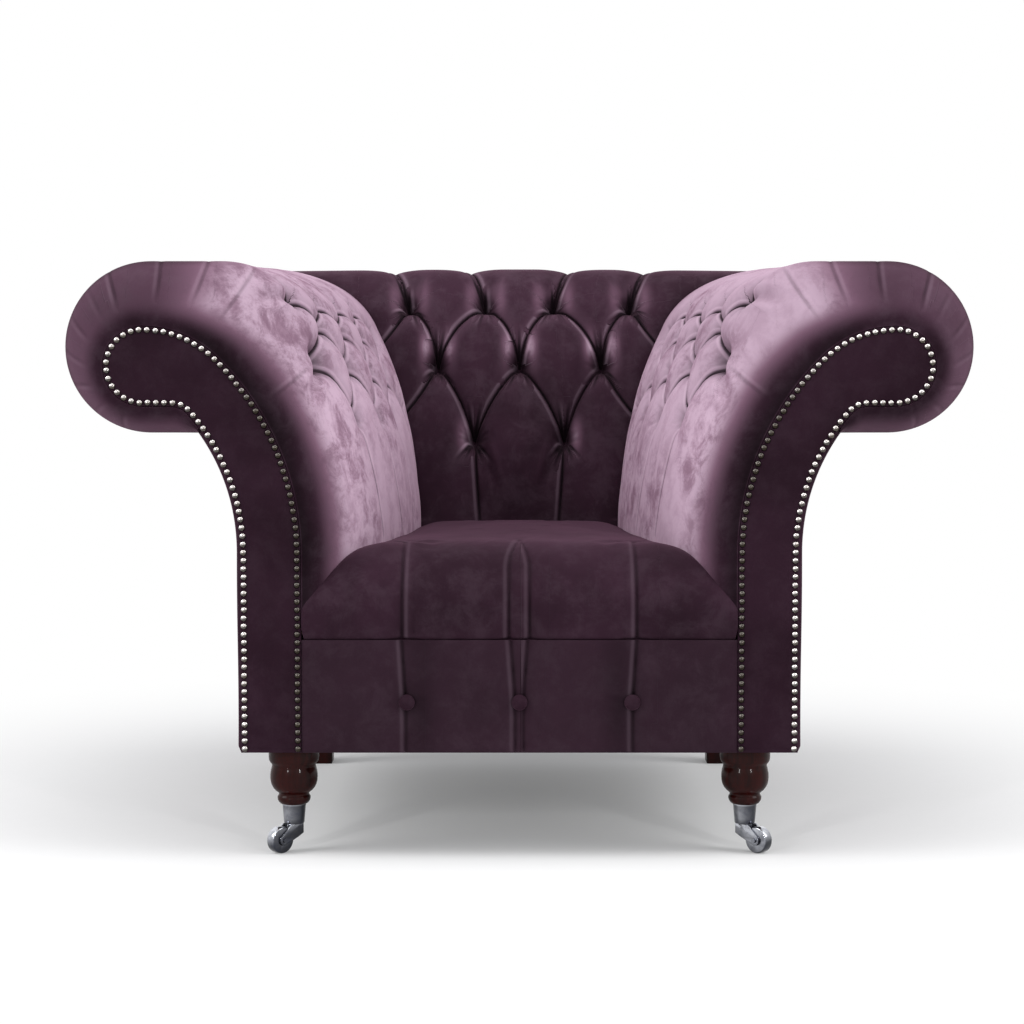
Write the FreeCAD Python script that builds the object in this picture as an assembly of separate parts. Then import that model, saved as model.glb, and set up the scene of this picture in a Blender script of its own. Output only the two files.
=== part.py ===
# Chesterfield armchair: scroll arms, deep-buttoned inside, sprung seat, turned front legs on castors.
# Millimetres. +X to the sitter's left, +Y to the back, +Z up. The origin is on the floor under the middle.
# Depths are first given from the front plane, which is the face of the arm facings, and point backwards.
import FreeCAD, Part
import math
import os

from FreeCAD import Vector

# Heights
UNDERSIDE = 140.0
SEAT_TOP = 404.0
SEAT_CROWN = 10.0
LIP_SEAM = 288.0
PAD_FOOT = 300.0
RAIL_TOP = 242.0

# Arm facing: a board that sweeps out and ends in a round eye
POST_INNER = 284.0
POST_OUTER = 363.0
SWEEP_START = 400.0
SWEEP_RADIUS = 360.0
TURN_RADIUS = 138.0
TURN_ANGLE = math.radians(45)
EYE_RADIUS = 52.0
ELBOW_RADIUS = 27.0
FACING_THICK = 6.0
FACING_RIM = 3.0
COVER_THICK = 5.0

# Arm roll and inside arm padding
ROLL_RADIUS = 114.0
ROLL_ABOVE_EYE = 30.0
ROLL_INSIDE_EYE = 2.0
CROWN_INNER = 380.0
CROWN_RADIUS = 150.0
CROWN_SLOPE = math.radians(22.6)
FACE_FOOT_X = 166.0
FACE_FOOT_Z = 390.0
ROLL_ROUNDING = 75.0
INSIDE_ROUNDING = 230.0

# Back
BACK_FOOT_DEPTH = 588.0
BACK_CROWN_RADIUS = 120.0
BACK_SLOPE = math.radians(16)
BACK_ROLL_CENTRE = 812.0
BACK_FLAT = 42.0
BACK_CAVITY_FRONT = 715.0
BACK_COVER_FACE = 792.0
MITRE_START = 761.0

# Frame timber
BOARD = 30.0
RAIL = 28.0
TIMBER_GAP = 1.5
ROLL_RAIL = 46.0
STUFFING_RAIL = 42.0
REAR_BOARD_DEPTH = 720.0
POST_WIDTH = 42.0
BLOCK_LEG = 56.0
BLOCK_HIGH = 60.0
RAIL_CLEARANCE = 2.0

# Seat
LIP_RADIUS = 78.0
LIP_BULGE = 3.0
BORDER_THICK = 8.0

# Webbing and sheets
SHEET = 2.0
WEB_WIDTH = 50.0
SEAT_WEB_PITCH_ALONG = 80.0
SEAT_WEB_PITCH_ACROSS = 108.0
BACK_WEB_PITCH = 118.0

# Buttons and tufts
BUTTON_RADIUS = 11.0
BUTTON_THICK = 6.0
BUTTON_SIDES = 8
TUFT_DEPTH = 26.0
TUFT_MOUTH = 25.0
TUFT_FLOOR = 11.5
PLEAT_DEPTH = 12.0
PLEAT_HALF = 8.0
PLEAT_OUT = 10.0

# Nail strip
NAIL_INSET = 5.0
NAIL_WIDTH = 9.0
NAIL_HIGH = 3.5

# Front legs
LEG_X = 300.0
LEG_DEPTH = 59.0
LEG_FOOT = 63.0
RING_RADIUS = 33.4
RING_FOOT = 117.0
BOWL_RADIUS = 31.5
BOWL_Z = 100.0
BOWL_NECK = 29.5
FOOT_NECK = 20.5
FOOT_RING = 21.8
PEG_LENGTH = 20.0
PEG_RADIUS = 12.2
BOLT_RADIUS = 4.0
BOLT_UP = 62.0
BOLT_DOWN = 40.0

# Rear legs
REAR_LEG_FROM_SIDE = 37.0
REAR_LEG_FROM_REAR = 43.0
REAR_LEG_RAKE = 16.0
REAR_LEG_TOP = 50.0
REAR_LEG_FOOT = 40.0

# Castors
WHEEL_RADIUS = 17.5
WHEEL_HALF = 7.0
TRAIL = 24.0
TRAIL_ANGLE = math.radians(45)
CUP_FLOOR = 37.0
CUP_FOOT_RADIUS = 13.2
CUP_RIM_RADIUS = 15.5
CASTOR_GAP = 0.5
HORN_HALF = 10.0
HORN_FOOT = 24.0
HORN_NOSE = 7.0
HORN_HEEL = 8.0
PIN_RADIUS = 3.0
PIN_CLEARANCE = 0.05
AXLE_HALF = 12.0
WHEEL_CLEARANCE = 0.8

# Button rows of an arm, as (share of the way from the crown to the foot of the face, first depth)
COLUMN_PITCH = 135.0
COLUMN_COUNT = 4
ARM_ODD_DEPTH = 108.0
ARM_EVEN_DEPTH = 175.0
ARM_ROWS = ((0.06, ARM_ODD_DEPTH), (0.19, ARM_EVEN_DEPTH), (0.36, ARM_ODD_DEPTH), (0.53, ARM_EVEN_DEPTH))

# Button rows of the back, as (height, distances from the middle)
BACK_ROW_HEIGHTS = (744.0, 648.0, 530.0)
BACK_ROW_PLACES = ((-176.0, -54.0, 54.0, 176.0), (-130.0, 0.0, 130.0), (-71.0, 71.0))
CREST_SPREAD = 1.22
SEAT_PLEATS = (-146.0, 0.0, 146.0)
BORDER_BUTTON_Z = 206.0

# Worked out from the sizes above
SWEEP_X = POST_INNER + SWEEP_RADIUS
OUTER_SWEEP = SWEEP_X - POST_OUTER
TURN_X = SWEEP_X - (SWEEP_RADIUS - TURN_RADIUS) * math.sin(TURN_ANGLE)
TURN_Z = SWEEP_START + (SWEEP_RADIUS - TURN_RADIUS) * math.cos(TURN_ANGLE)
EYE_Z = TURN_Z + TURN_RADIUS - EYE_RADIUS
ROLL_X = TURN_X - ROLL_INSIDE_EYE
ROLL_Z = EYE_Z + ROLL_ABOVE_EYE
CROWN_Z = ROLL_Z + ROLL_RADIUS
BACK_REAR = BACK_ROLL_CENTRE + ROLL_RADIUS
ROLL_TURNS = (95, 135, 175, 215, 255)
ARM_STATIONS = (0, 6, 28, ROLL_ROUNDING, 140, INSIDE_ROUNDING)
BACK_EYE_Z = ROLL_Z - ROLL_ABOVE_EYE / 2
BACK_TOP_RAIL_Z = BACK_EYE_Z - 70
CENTRE_DEPTH = (BACK_REAR - NAIL_HIGH) / 2
SEAT_BOTTOM = RAIL_TOP + 3 * SHEET
REAR_LEG_X = POST_OUTER - REAR_LEG_FROM_SIDE
REAR_LEG_TOP_DEPTH = BACK_COVER_FACE - COVER_THICK - REAR_LEG_FROM_REAR
PARTS = "parts"


def y_of(depth):
    """Y of a depth behind the front plane."""
    return depth - CENTRE_DEPTH


def line(a, b):
    return Part.makeLine(a, b)


def arc(a, through, b):
    return Part.Arc(a, through, b).toShape()


def prism(edges, along):
    """Solid swept from a closed flat outline along a vector."""
    return Part.Face(Part.Wire(Part.__sortEdges__(edges))).extrude(along)


def block(x0, x1, depth0, depth1, z0, z1):
    return Part.makeBox(x1 - x0, depth1 - depth0, z1 - z0, Vector(x0, y_of(depth0), z0))


def mirrored(shape):
    return shape.mirror(Vector(0, 0, 0), Vector(1, 0, 0))


def save(name, *solids):
    """Writes one node, made of one or more separate solids."""
    pieces = [s for shape in solids for s in shape.Solids]
    shape = pieces[0] if len(pieces) == 1 else Part.makeCompound(pieces)
    shape.exportStep(os.path.join(PARTS, name + ".step"))
    print(name, len(pieces), "solids", round(sum(s.Volume for s in pieces) / 1000), "cm3",
          "valid" if shape.isValid() else "NOT VALID")
    return shape


def save_pair(name, *solids):
    """Writes the node for +X and its mirror image for -X."""
    save(name + "_left", *solids)
    save(name + "_right", *[mirrored(s) for s in solids])


def polar(cx, cz, radius, angle, y):
    """Point at an angle above the -X direction."""
    return Vector(cx - radius * math.cos(angle), y, cz + radius * math.sin(angle))


def facing_edges(inset, foot, y):
    """Outline of the arm facing, drawn in by an inset, closed along its foot."""
    inner = SWEEP_RADIUS - inset
    outer = OUTER_SWEEP + inset
    turn = TURN_RADIUS - inset
    eye = EYE_RADIUS - inset
    elbow = ELBOW_RADIUS + inset
    floor = EYE_Z - eye
    rise = math.pi / 2 - TURN_ANGLE
    elbow_x = SWEEP_X - math.sqrt((outer - elbow) ** 2 - (floor - elbow - SWEEP_START) ** 2)
    elbow_angle = math.atan2(floor - elbow - SWEEP_START, SWEEP_X - elbow_x)
    foot_in = Vector(POST_INNER + inset, y, foot)
    start_in = Vector(POST_INNER + inset, y, SWEEP_START)
    turn_at = polar(SWEEP_X, SWEEP_START, inner, rise, y)
    top = Vector(TURN_X, y, EYE_Z + eye)
    nose = Vector(TURN_X + eye, y, EYE_Z)
    under = Vector(TURN_X, y, floor)
    elbow_in = Vector(elbow_x, y, floor)
    elbow_out = polar(SWEEP_X, SWEEP_START, outer, elbow_angle, y)
    elbow_mid_angle = (math.pi / 2 + elbow_angle) / 2
    elbow_mid = polar(elbow_x, floor - elbow, elbow, elbow_mid_angle, y)
    start_out = Vector(POST_OUTER - inset, y, SWEEP_START)
    foot_out = Vector(POST_OUTER - inset, y, foot)
    return [
        line(foot_in, start_in),
        arc(start_in, polar(SWEEP_X, SWEEP_START, inner, rise / 2, y), turn_at),
        arc(turn_at, polar(TURN_X, TURN_Z, turn, (rise + math.pi / 2) / 2, y), top),
        arc(top, polar(TURN_X, EYE_Z, eye, math.radians(135), y), nose),
        arc(nose, polar(TURN_X, EYE_Z, eye, math.radians(225), y), under),
        line(under, elbow_in),
        arc(elbow_in, elbow_mid, elbow_out),
        arc(elbow_out, polar(SWEEP_X, SWEEP_START, outer, elbow_angle / 2, y), start_out),
        line(start_out, foot_out),
        line(foot_out, foot_in),
    ]


def arm_prism(inset, foot, depth0, depth1):
    return prism(facing_edges(inset, foot, y_of(depth0)), Vector(0, depth1 - depth0, 0))


def rounded_share(depth, rounding):
    """Share of the full padding at a depth, for a front edge rounded as a quarter ellipse."""
    left = 1 - min(max(depth / rounding, 0), 1)
    return math.sqrt(max(0, 1 - left * left))


def arm_outline(depth):
    """The arm's outer outline at a depth, as named points: each goes from the facing's edge to the full padding."""
    crown_cz = CROWN_Z - CROWN_RADIUS
    crown_mid = (CROWN_SLOPE + math.pi / 2) / 2
    sweep = SWEEP_RADIUS + FACING_RIM
    turn = TURN_RADIUS + FACING_RIM
    eye = EYE_RADIUS + FACING_RIM
    crown_on_facing = math.radians(66.7)
    face_on_facing = math.radians(36.5)
    diagonal = math.radians(45)

    def on_facing(cx, cz, radius, angle):
        return cx - radius * math.cos(angle), cz + radius * math.sin(angle)

    under_x = SWEEP_X - math.sqrt(OUTER_SWEEP**2 - (ROLL_Z - ROLL_RADIUS - SWEEP_START) ** 2)
    full = {
        "tuck": (under_x, ROLL_Z - ROLL_RADIUS),
        "under": (ROLL_X, ROLL_Z - ROLL_RADIUS),
        "low": on_facing(ROLL_X, ROLL_Z, ROLL_RADIUS, math.radians(225)),
        "nose": (ROLL_X + ROLL_RADIUS, ROLL_Z),
        "high": on_facing(ROLL_X, ROLL_Z, ROLL_RADIUS, math.radians(135)),
        "top": (ROLL_X, CROWN_Z),
        "crown": (CROWN_INNER, CROWN_Z),
        "shoulder": on_facing(CROWN_INNER, crown_cz, CROWN_RADIUS, crown_mid),
        "face": on_facing(CROWN_INNER, crown_cz, CROWN_RADIUS, CROWN_SLOPE),
        "foot": (FACE_FOOT_X, FACE_FOOT_Z),
        "hem": (FACE_FOOT_X, PAD_FOOT),
    }
    facing = {
        "tuck": (TURN_X - EYE_RADIUS, EYE_Z - eye),
        "under": (TURN_X, EYE_Z - eye),
        "low": on_facing(TURN_X, EYE_Z, eye, math.radians(225)),
        "nose": (TURN_X + eye, EYE_Z),
        "high": on_facing(TURN_X, EYE_Z, eye, math.radians(135)),
        "top": (TURN_X, EYE_Z + eye),
        "crown": on_facing(TURN_X, TURN_Z, turn, crown_on_facing),
        "shoulder": on_facing(TURN_X, TURN_Z, turn, diagonal),
        "face": on_facing(SWEEP_X, SWEEP_START, sweep, face_on_facing),
        "foot": (POST_INNER - FACING_RIM, FACE_FOOT_Z),
        "hem": (POST_INNER - FACING_RIM, PAD_FOOT),
    }
    inside = ("face", "foot", "hem")
    middle = ("crown", "shoulder")
    points = {}
    for name in full:
        rounding = ROLL_ROUNDING
        if name in middle:
            rounding = (ROLL_ROUNDING + INSIDE_ROUNDING) / 2
        if name in inside:
            rounding = INSIDE_ROUNDING
        share = rounded_share(depth, rounding)
        x = facing[name][0] + (full[name][0] - facing[name][0]) * share
        z = facing[name][1] + (full[name][1] - facing[name][1]) * share
        points[name] = Vector(x, y_of(depth), z)
    return points


def arm_section(depth):
    """Closed wire round the arm, padding and frame together."""
    p = arm_outline(depth)
    y = y_of(depth)
    core_x = (POST_INNER + POST_OUTER) / 2
    core = [Vector(core_x, y, PAD_FOOT), Vector(core_x, y, SWEEP_START), Vector(p["tuck"].x, y, p["tuck"].z + 12)]
    return Part.Wire([
        line(p["tuck"], p["under"]),
        arc(p["under"], p["low"], p["nose"]),
        arc(p["nose"], p["high"], p["top"]),
        line(p["top"], p["crown"]),
        arc(p["crown"], p["shoulder"], p["face"]),
        line(p["face"], p["foot"]),
        line(p["foot"], p["hem"]),
        line(p["hem"], core[0]),
        line(core[0], core[1]),
        line(core[1], core[2]),
        line(core[2], p["tuck"]),
    ])


def arm_point(share, depth):
    """Point on the inside arm, from 0 at the crown's inner edge to 1 at the foot of the face."""
    p = arm_outline(depth)
    crown = arc(p["crown"], p["shoulder"], p["face"])
    face = line(p["face"], p["foot"])
    along = share * (crown.Length + face.Length)
    if along <= crown.Length:
        return crown.valueAt(crown.getParameterByLength(along))
    return face.valueAt(face.getParameterByLength(along - crown.Length))


def arm_normal(share, depth):
    step = 2.0
    across = arm_point(min(share + 0.01, 1), depth) - arm_point(max(share - 0.01, 0), depth)
    along = arm_point(share, depth + step) - arm_point(share, depth - step)
    return along.cross(across).normalize()


def roll_point(angle, depth):
    """Point on the roll, from 90 degrees at the top to 270 underneath, and its outward normal."""
    p = arm_outline(depth)
    cz = (p["top"].z + p["under"].z) / 2
    radius = (p["top"].z - p["under"].z) / 2
    point = polar(p["top"].x, cz, radius, math.radians(angle), p["top"].y)
    normal = polar(0, 0, 1, math.radians(angle), 0)
    return point, normal


def tuft(point, normal, across):
    """Four-sided pit that sinks a button into the padding, with its corners towards the folds."""
    across = (across - normal * across.dot(normal)).normalize()
    along = normal.cross(across)

    def square(out):
        half = TUFT_FLOOR + (TUFT_MOUTH - TUFT_FLOOR) * (TUFT_DEPTH + out) / TUFT_DEPTH
        centre = point + normal * out
        return [centre + across * half * i + along * half * j for i, j in ((-1, -1), (1, -1), (1, 1), (-1, 1))]

    return facetted(square(-TUFT_DEPTH), square(PLEAT_OUT))


def button(point, normal, across):
    """Covered button on the floor of its tuft, its edge drawn with a few flats."""
    across = (across - normal * across.dot(normal)).normalize()
    along = normal.cross(across)
    centre = point - normal * TUFT_DEPTH
    turns = [2 * math.pi * k / BUTTON_SIDES for k in range(BUTTON_SIDES)]
    corners = [centre + across * BUTTON_RADIUS * math.cos(a) + along * BUTTON_RADIUS * math.sin(a) for a in turns]
    return Part.Face(Part.makePolygon(corners + corners[:1])).extrude(normal * BUTTON_THICK)


def facetted(start, end):
    """Solid between two rings of as many points, with flat faces."""
    count = len(start)
    faces = [start, end]
    for k in range(count):
        a, b, c, d = start[k], start[(k + 1) % count], end[(k + 1) % count], end[k]
        twist = (b - a).cross(c - a).normalize().dot(d - a)
        faces += [[a, b, c, d]] if abs(twist) < 1e-6 else [[a, b, c], [a, c, d]]
    return Part.Solid(Part.makeShell([Part.Face(Part.makePolygon(ring + ring[:1])) for ring in faces]))


def pleat(stations):
    """Grooves through (point, normal) stations along a fold, one for each stretch between two of them."""
    widen = PLEAT_HALF * (PLEAT_DEPTH + PLEAT_OUT) / PLEAT_DEPTH
    rings = []
    for i, (point, normal) in enumerate(stations):
        before = stations[max(i - 1, 0)][0]
        after = stations[min(i + 1, len(stations) - 1)][0]
        side = (after - before).cross(normal).normalize() * widen
        mouth = point + normal * PLEAT_OUT
        rings.append([point - normal * PLEAT_DEPTH, mouth + side, mouth - side])
    return [facetted(a, b) for a, b in zip(rings, rings[1:])]


def arm_tools():
    """Tufts, pleats and buttons of one arm."""
    rows = []
    for share, first in ARM_ROWS:
        depths = [first + COLUMN_PITCH * k for k in range(COLUMN_COUNT)]
        rows.append([(share, depth) for depth in depths])
    at = {spot: (arm_point(*spot), arm_normal(*spot)) for row in rows for spot in row}
    tufts = [tuft(*at[spot], Vector(0, 1, 0)) for row in rows for spot in row]
    buttons = [button(*at[spot], Vector(0, 1, 0)) for row in rows for spot in row]
    folds = []
    for upper, lower in zip(rows, rows[1:]):
        for a in upper:
            for b in lower:
                if abs(a[1] - b[1]) < COLUMN_PITCH * 0.75:
                    folds.append([at[a], at[b]])
    for spot in rows[0]:
        over = [at[spot]] + [roll_point(angle, spot[1]) for angle in ROLL_TURNS]
        folds.append(over)
    for share, depth in rows[-1]:
        down = [(s, depth) for s in (share, 0.75, 0.97)]
        folds.append([(arm_point(*spot), arm_normal(*spot)) for spot in down])
    return tufts + [groove for stations in folds for groove in pleat(stations)], buttons


def arm_pad_form():
    """Smooth outer form of the arm: the rounded front, then straight to the back corner."""
    front = Part.makeLoft([arm_section(depth) for depth in ARM_STATIONS], True, True)
    run = Part.Face(arm_section(ARM_STATIONS[-1])).extrude(Vector(0, BACK_REAR - ARM_STATIONS[-1], 0))
    return front.fuse(run)


def back_profile():
    """Named points of the back's outer outline in the (depth, height) plane."""
    crown_depth = BACK_ROLL_CENTRE - BACK_FLAT
    top = ROLL_Z + ROLL_RADIUS
    crown_cz = top - BACK_CROWN_RADIUS
    face = (crown_depth - BACK_CROWN_RADIUS * math.cos(BACK_SLOPE), crown_cz + BACK_CROWN_RADIUS * math.sin(BACK_SLOPE))
    bow = 8.0
    return {
        "foot": (BACK_FOOT_DEPTH, PAD_FOOT + 60),
        "waist": ((BACK_FOOT_DEPTH + face[0]) / 2 - bow, (PAD_FOOT + 60 + face[1]) / 2),
        "face": face,
        "shoulder": (crown_depth - BACK_CROWN_RADIUS * math.cos(math.radians(53)),
                     crown_cz + BACK_CROWN_RADIUS * math.sin(math.radians(53))),
        "crown": (crown_depth, top),
        "top": (BACK_ROLL_CENTRE, top),
        "nose": (BACK_REAR, ROLL_Z),
        "under": (BACK_ROLL_CENTRE, ROLL_Z - ROLL_RADIUS),
        "tuck": (BACK_COVER_FACE - COVER_THICK, ROLL_Z - ROLL_RADIUS),
    }


def back_vector(x, spot):
    return Vector(x, y_of(spot[0]), spot[1])


def back_form(x0, x1):
    """Smooth outer form of the back, from its foot over the roll to the tuck under it."""
    p = {name: back_vector(x0, spot) for name, spot in back_profile().items()}
    diagonal = ROLL_RADIUS * math.sqrt(0.5)
    high = back_vector(x0, (BACK_ROLL_CENTRE + diagonal, ROLL_Z + diagonal))
    low = back_vector(x0, (BACK_ROLL_CENTRE + diagonal, ROLL_Z - diagonal))
    hem = back_vector(x0, (BACK_FOOT_DEPTH, PAD_FOOT))
    rear_hem = back_vector(x0, (BACK_COVER_FACE - COVER_THICK, PAD_FOOT))
    edges = [
        line(hem, p["foot"]),
        arc(p["foot"], p["waist"], p["face"]),
        arc(p["face"], p["shoulder"], p["crown"]),
        line(p["crown"], p["top"]),
        arc(p["top"], high, p["nose"]),
        arc(p["nose"], low, p["under"]),
        line(p["under"], p["tuck"]),
        line(p["tuck"], rear_hem),
        line(rear_hem, hem),
    ]
    return prism(edges, Vector(x1 - x0, 0, 0))


def back_core_edges(inset, foot, x):
    """Outline of the timber inside the back: an upright with a round eye for the roll."""
    front = BACK_CAVITY_FRONT + inset
    rear = BACK_COVER_FACE - COVER_THICK - inset
    eye = EYE_RADIUS - inset
    eye_z = BACK_EYE_Z
    turn = BACK_ROLL_CENTRE - BACK_CAVITY_FRONT - EYE_RADIUS
    turn_z = eye_z + EYE_RADIUS - turn - inset
    p = [
        (front, foot),
        (front, turn_z),
        (front + turn * (1 - math.sqrt(0.5)), turn_z + turn * math.sqrt(0.5)),
        (front + turn, turn_z + turn),
        (BACK_ROLL_CENTRE, eye_z + eye),
        (BACK_ROLL_CENTRE + eye, eye_z),
        (BACK_ROLL_CENTRE, eye_z - eye),
        (rear, eye_z - eye),
        (rear, foot),
    ]
    v = [back_vector(x, spot) for spot in p]
    diagonal = eye * math.sqrt(0.5)
    high = back_vector(x, (BACK_ROLL_CENTRE + diagonal, eye_z + diagonal))
    low = back_vector(x, (BACK_ROLL_CENTRE + diagonal, eye_z - diagonal))
    return [line(v[0], v[1]), arc(v[1], v[2], v[3]), line(v[3], v[4]), arc(v[4], high, v[5]),
            arc(v[5], low, v[6]), line(v[6], v[7]), line(v[7], v[8]), line(v[8], v[0])]


def back_core(inset, foot, x0, x1):
    return prism(back_core_edges(inset, foot, x0), Vector(x1 - x0, 0, 0))


def back_surface(z):
    """(depth, normal) of the back's face or crown at a height."""
    p = back_profile()
    face = arc(back_vector(0, p["foot"]), back_vector(0, p["waist"]), back_vector(0, p["face"]))
    crown = arc(back_vector(0, p["face"]), back_vector(0, p["shoulder"]), back_vector(0, p["crown"]))
    edge = face if z < p["face"][1] else crown
    steps = 200
    best = min((edge.valueAt(edge.FirstParameter + (edge.LastParameter - edge.FirstParameter) * i / steps)
                for i in range(steps + 1)), key=lambda v: abs(v.z - z))
    tangent = edge.tangentAt(edge.Curve.parameter(best))
    normal = Vector(1, 0, 0).cross(tangent)
    if normal.y > 0 and normal.z < 0.5:
        normal = normal * -1
    return best, normal.normalize()


def back_spot(x, z):
    point, normal = back_surface(z)
    return Vector(x, point.y, point.z), normal


def back_roll_spot(x, angle):
    """Point and normal on the back's roll: 90 is the top, 180 the rearmost line."""
    a = math.radians(angle)
    normal = Vector(0, -math.cos(a), math.sin(a))
    centre = Vector(x, y_of(BACK_ROLL_CENTRE), ROLL_Z)
    return centre + normal * ROLL_RADIUS, normal


def back_tools():
    """Tufts, pleats and buttons of the back."""
    rows = [[(x, z) for x in places] for z, places in zip(BACK_ROW_HEIGHTS, BACK_ROW_PLACES)]
    spots = [spot for row in rows for spot in row]
    at = {spot: back_spot(*spot) for spot in spots}
    tufts = [tuft(*at[spot], Vector(1, 0, 0)) for spot in spots]
    buttons = [button(*at[spot], Vector(1, 0, 0)) for spot in spots]
    folds = []
    for upper, lower in zip(rows, rows[1:]):
        pitch = upper[1][0] - upper[0][0]
        for a in upper:
            for b in lower:
                if abs(a[0] - b[0]) < pitch * 0.85:
                    folds.append([at[a], at[b]])
    for x, z in rows[0]:
        wide = x * CREST_SPREAD
        over = [at[(x, z)], back_spot((x + wide) / 2, (z + CROWN_Z) / 2)]
        over += [back_roll_spot(wide, angle) for angle in ROLL_TURNS]
        folds.append(over)
    for row, reach in ((rows[0], 46.0), (rows[1], 52.0)):
        for x, z in (row[0], row[-1]):
            out = x + math.copysign(reach, x)
            folds.append([at[(x, z)], back_spot(out, z - 1.6 * reach)])
    for x, z in rows[-1]:
        folds.append([at[(x, z)], back_spot(x, SEAT_TOP + 30), back_spot(x, PAD_FOOT + 62)])
    return tufts + [groove for stations in folds for groove in pleat(stations)], buttons


def plan_prism(points, z0, z1):
    """Solid over a plan outline given as (x, depth) points."""
    corners = [Vector(x, y_of(depth), z0) for x, depth in points]
    return Part.Face(Part.makePolygon(corners + corners[:1])).extrude(Vector(0, 0, z1 - z0))


def mitre_x(depth):
    """X of the mitre between arm roll and back roll."""
    return ROLL_X + depth - BACK_ROLL_CENTRE


def behind_mitre():
    """Everything behind the mitre on the +X side."""
    far = BACK_REAR + ROLL_RADIUS
    inner = mitre_x(MITRE_START)
    return plan_prism([(0, MITRE_START), (inner, MITRE_START), (mitre_x(far), far), (0, far)], 0, 2 * CROWN_Z)


def before_mitre():
    """Everything beside and in front of the mitre on the +X side, where the back gives way to the arm."""
    far = BACK_REAR + ROLL_RADIUS
    near = BACK_FOOT_DEPTH / 2
    inner = mitre_x(MITRE_START)
    side = mitre_x(far) + ROLL_RADIUS
    return plan_prism([(inner, near), (side, near), (side, far), (mitre_x(far), far), (inner, MITRE_START)],
                      0, 2 * CROWN_Z)


def make_arms(back_solid):
    """Arm padding, its buttons and the smooth form that the seat is cut to."""
    form = arm_pad_form()
    pad = form.cut(arm_prism(0, UNDERSIDE, -50, BACK_REAR + 50))
    pad = pad.cut([back_solid, behind_mitre()])
    tools, buttons = arm_tools()
    tufted = pad.cut(tools)
    save_pair("arm_pad", max(tufted.Solids, key=lambda s: s.Volume))
    save_pair("arm_buttons", *buttons)
    return form


def make_back():
    """Back padding and its buttons. Returns the smooth form."""
    half = ROLL_X + ROLL_RADIUS
    form = back_form(-half, half)
    form = form.cut([before_mitre(), mirrored(before_mitre())])
    pad = form.cut(back_core(0, UNDERSIDE, -half, half))
    arm_core = arm_prism(0, UNDERSIDE, -50, BACK_ROLL_CENTRE + EYE_RADIUS * 0.75)
    pad = pad.cut([arm_core, mirrored(arm_core)])
    tools, buttons = back_tools()
    tufted = pad.cut(tools)
    save("back_pad", max(tufted.Solids, key=lambda s: s.Volume))
    save("back_buttons", *buttons)
    return form


def seat_profile_edges(x):
    """Side outline of the seat: flat top, round lip, seam and foot."""
    top = SEAT_TOP + SEAT_CROWN + 20
    rear = BACK_CAVITY_FRONT - 10
    a = Vector(x, y_of(BORDER_THICK), SEAT_BOTTOM)
    seam = Vector(x, y_of(0), LIP_SEAM)
    cheek = Vector(x, y_of(-LIP_BULGE), SEAT_TOP - LIP_RADIUS - 8)
    lip = Vector(x, y_of(LIP_RADIUS * (1 - math.sqrt(0.5)) - LIP_BULGE), SEAT_TOP + SEAT_CROWN - LIP_RADIUS * 0.29)
    crest = Vector(x, y_of(LIP_RADIUS), SEAT_TOP + SEAT_CROWN)
    over = Vector(x, y_of(LIP_RADIUS + 60), top)
    rear_top = Vector(x, y_of(rear), top)
    rear_foot = Vector(x, y_of(rear), SEAT_BOTTOM)
    border_top = Vector(x, y_of(BORDER_THICK), LIP_SEAM)
    return [line(a, border_top), line(border_top, seam), line(seam, cheek), arc(cheek, lip, crest),
            line(crest, over), line(over, rear_top), line(rear_top, rear_foot), line(rear_foot, a)]


def seat_pleat(x, front_depth):
    """Groove of one pleat, from the top of the lip down the front."""
    out = Vector(0, -1, 0)
    up = Vector(0, 0, 1)
    diagonal = Vector(0, -1, 1).normalize()
    lip = LIP_RADIUS * (1 - math.sqrt(0.5))
    top = SEAT_TOP + SEAT_CROWN
    return pleat([
        (Vector(x, y_of(LIP_RADIUS + 26), top), up),
        (Vector(x, y_of(LIP_RADIUS), top), up),
        (Vector(x, y_of(lip - LIP_BULGE), top - lip), diagonal),
        (Vector(x, y_of(-LIP_BULGE), top - LIP_RADIUS), out),
        (Vector(x, y_of(front_depth), LIP_SEAM), out),
        (Vector(x, y_of(front_depth), UNDERSIDE - 5), out),
    ])


def make_seat(arm_form, back_solid):
    """Sprung seat padding with its lip, and the buttoned border under it."""
    side = prism(seat_profile_edges(-POST_INNER), Vector(2 * POST_INNER, 0, 0))
    y = y_of(-20)
    left = Vector(-POST_INNER, y, SEAT_TOP - SEAT_CROWN)
    right = Vector(POST_INNER, y, SEAT_TOP - SEAT_CROWN)
    middle = Vector(0, y, SEAT_TOP + SEAT_CROWN)
    foot_left = Vector(-POST_INNER, y, SEAT_BOTTOM)
    foot_right = Vector(POST_INNER, y, SEAT_BOTTOM)
    front = prism([arc(left, middle, right), line(right, foot_right), line(foot_right, foot_left),
                   line(foot_left, left)], Vector(0, BACK_REAR, 0))
    seat = side.common(front).cut([arm_form, mirrored(arm_form), back_solid])
    grooves = [groove for x in SEAT_PLEATS for groove in seat_pleat(x, 0)]
    seat = max(seat.cut(grooves).Solids, key=lambda s: s.Volume)
    save("seat_pad", seat)
    border = block(-POST_INNER, POST_INNER, 0, BORDER_THICK, UNDERSIDE, LIP_SEAM)
    shallow = [pleat([(Vector(x, y_of(0), LIP_SEAM + 5), Vector(0, -0.4, 0)),
                      (Vector(x, y_of(0), UNDERSIDE - 5), Vector(0, -0.4, 0))])[0] for x in SEAT_PLEATS]
    out = Vector(0, -1, 0)
    buttons = [button(Vector(x, y_of(BORDER_THICK / 2 - TUFT_DEPTH), BORDER_BUTTON_Z), out, Vector(1, 0, 0))
               for x in SEAT_PLEATS]
    save("front_border", border.cut(shallow).cut(buttons))
    save("border_buttons", *buttons)


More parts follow.
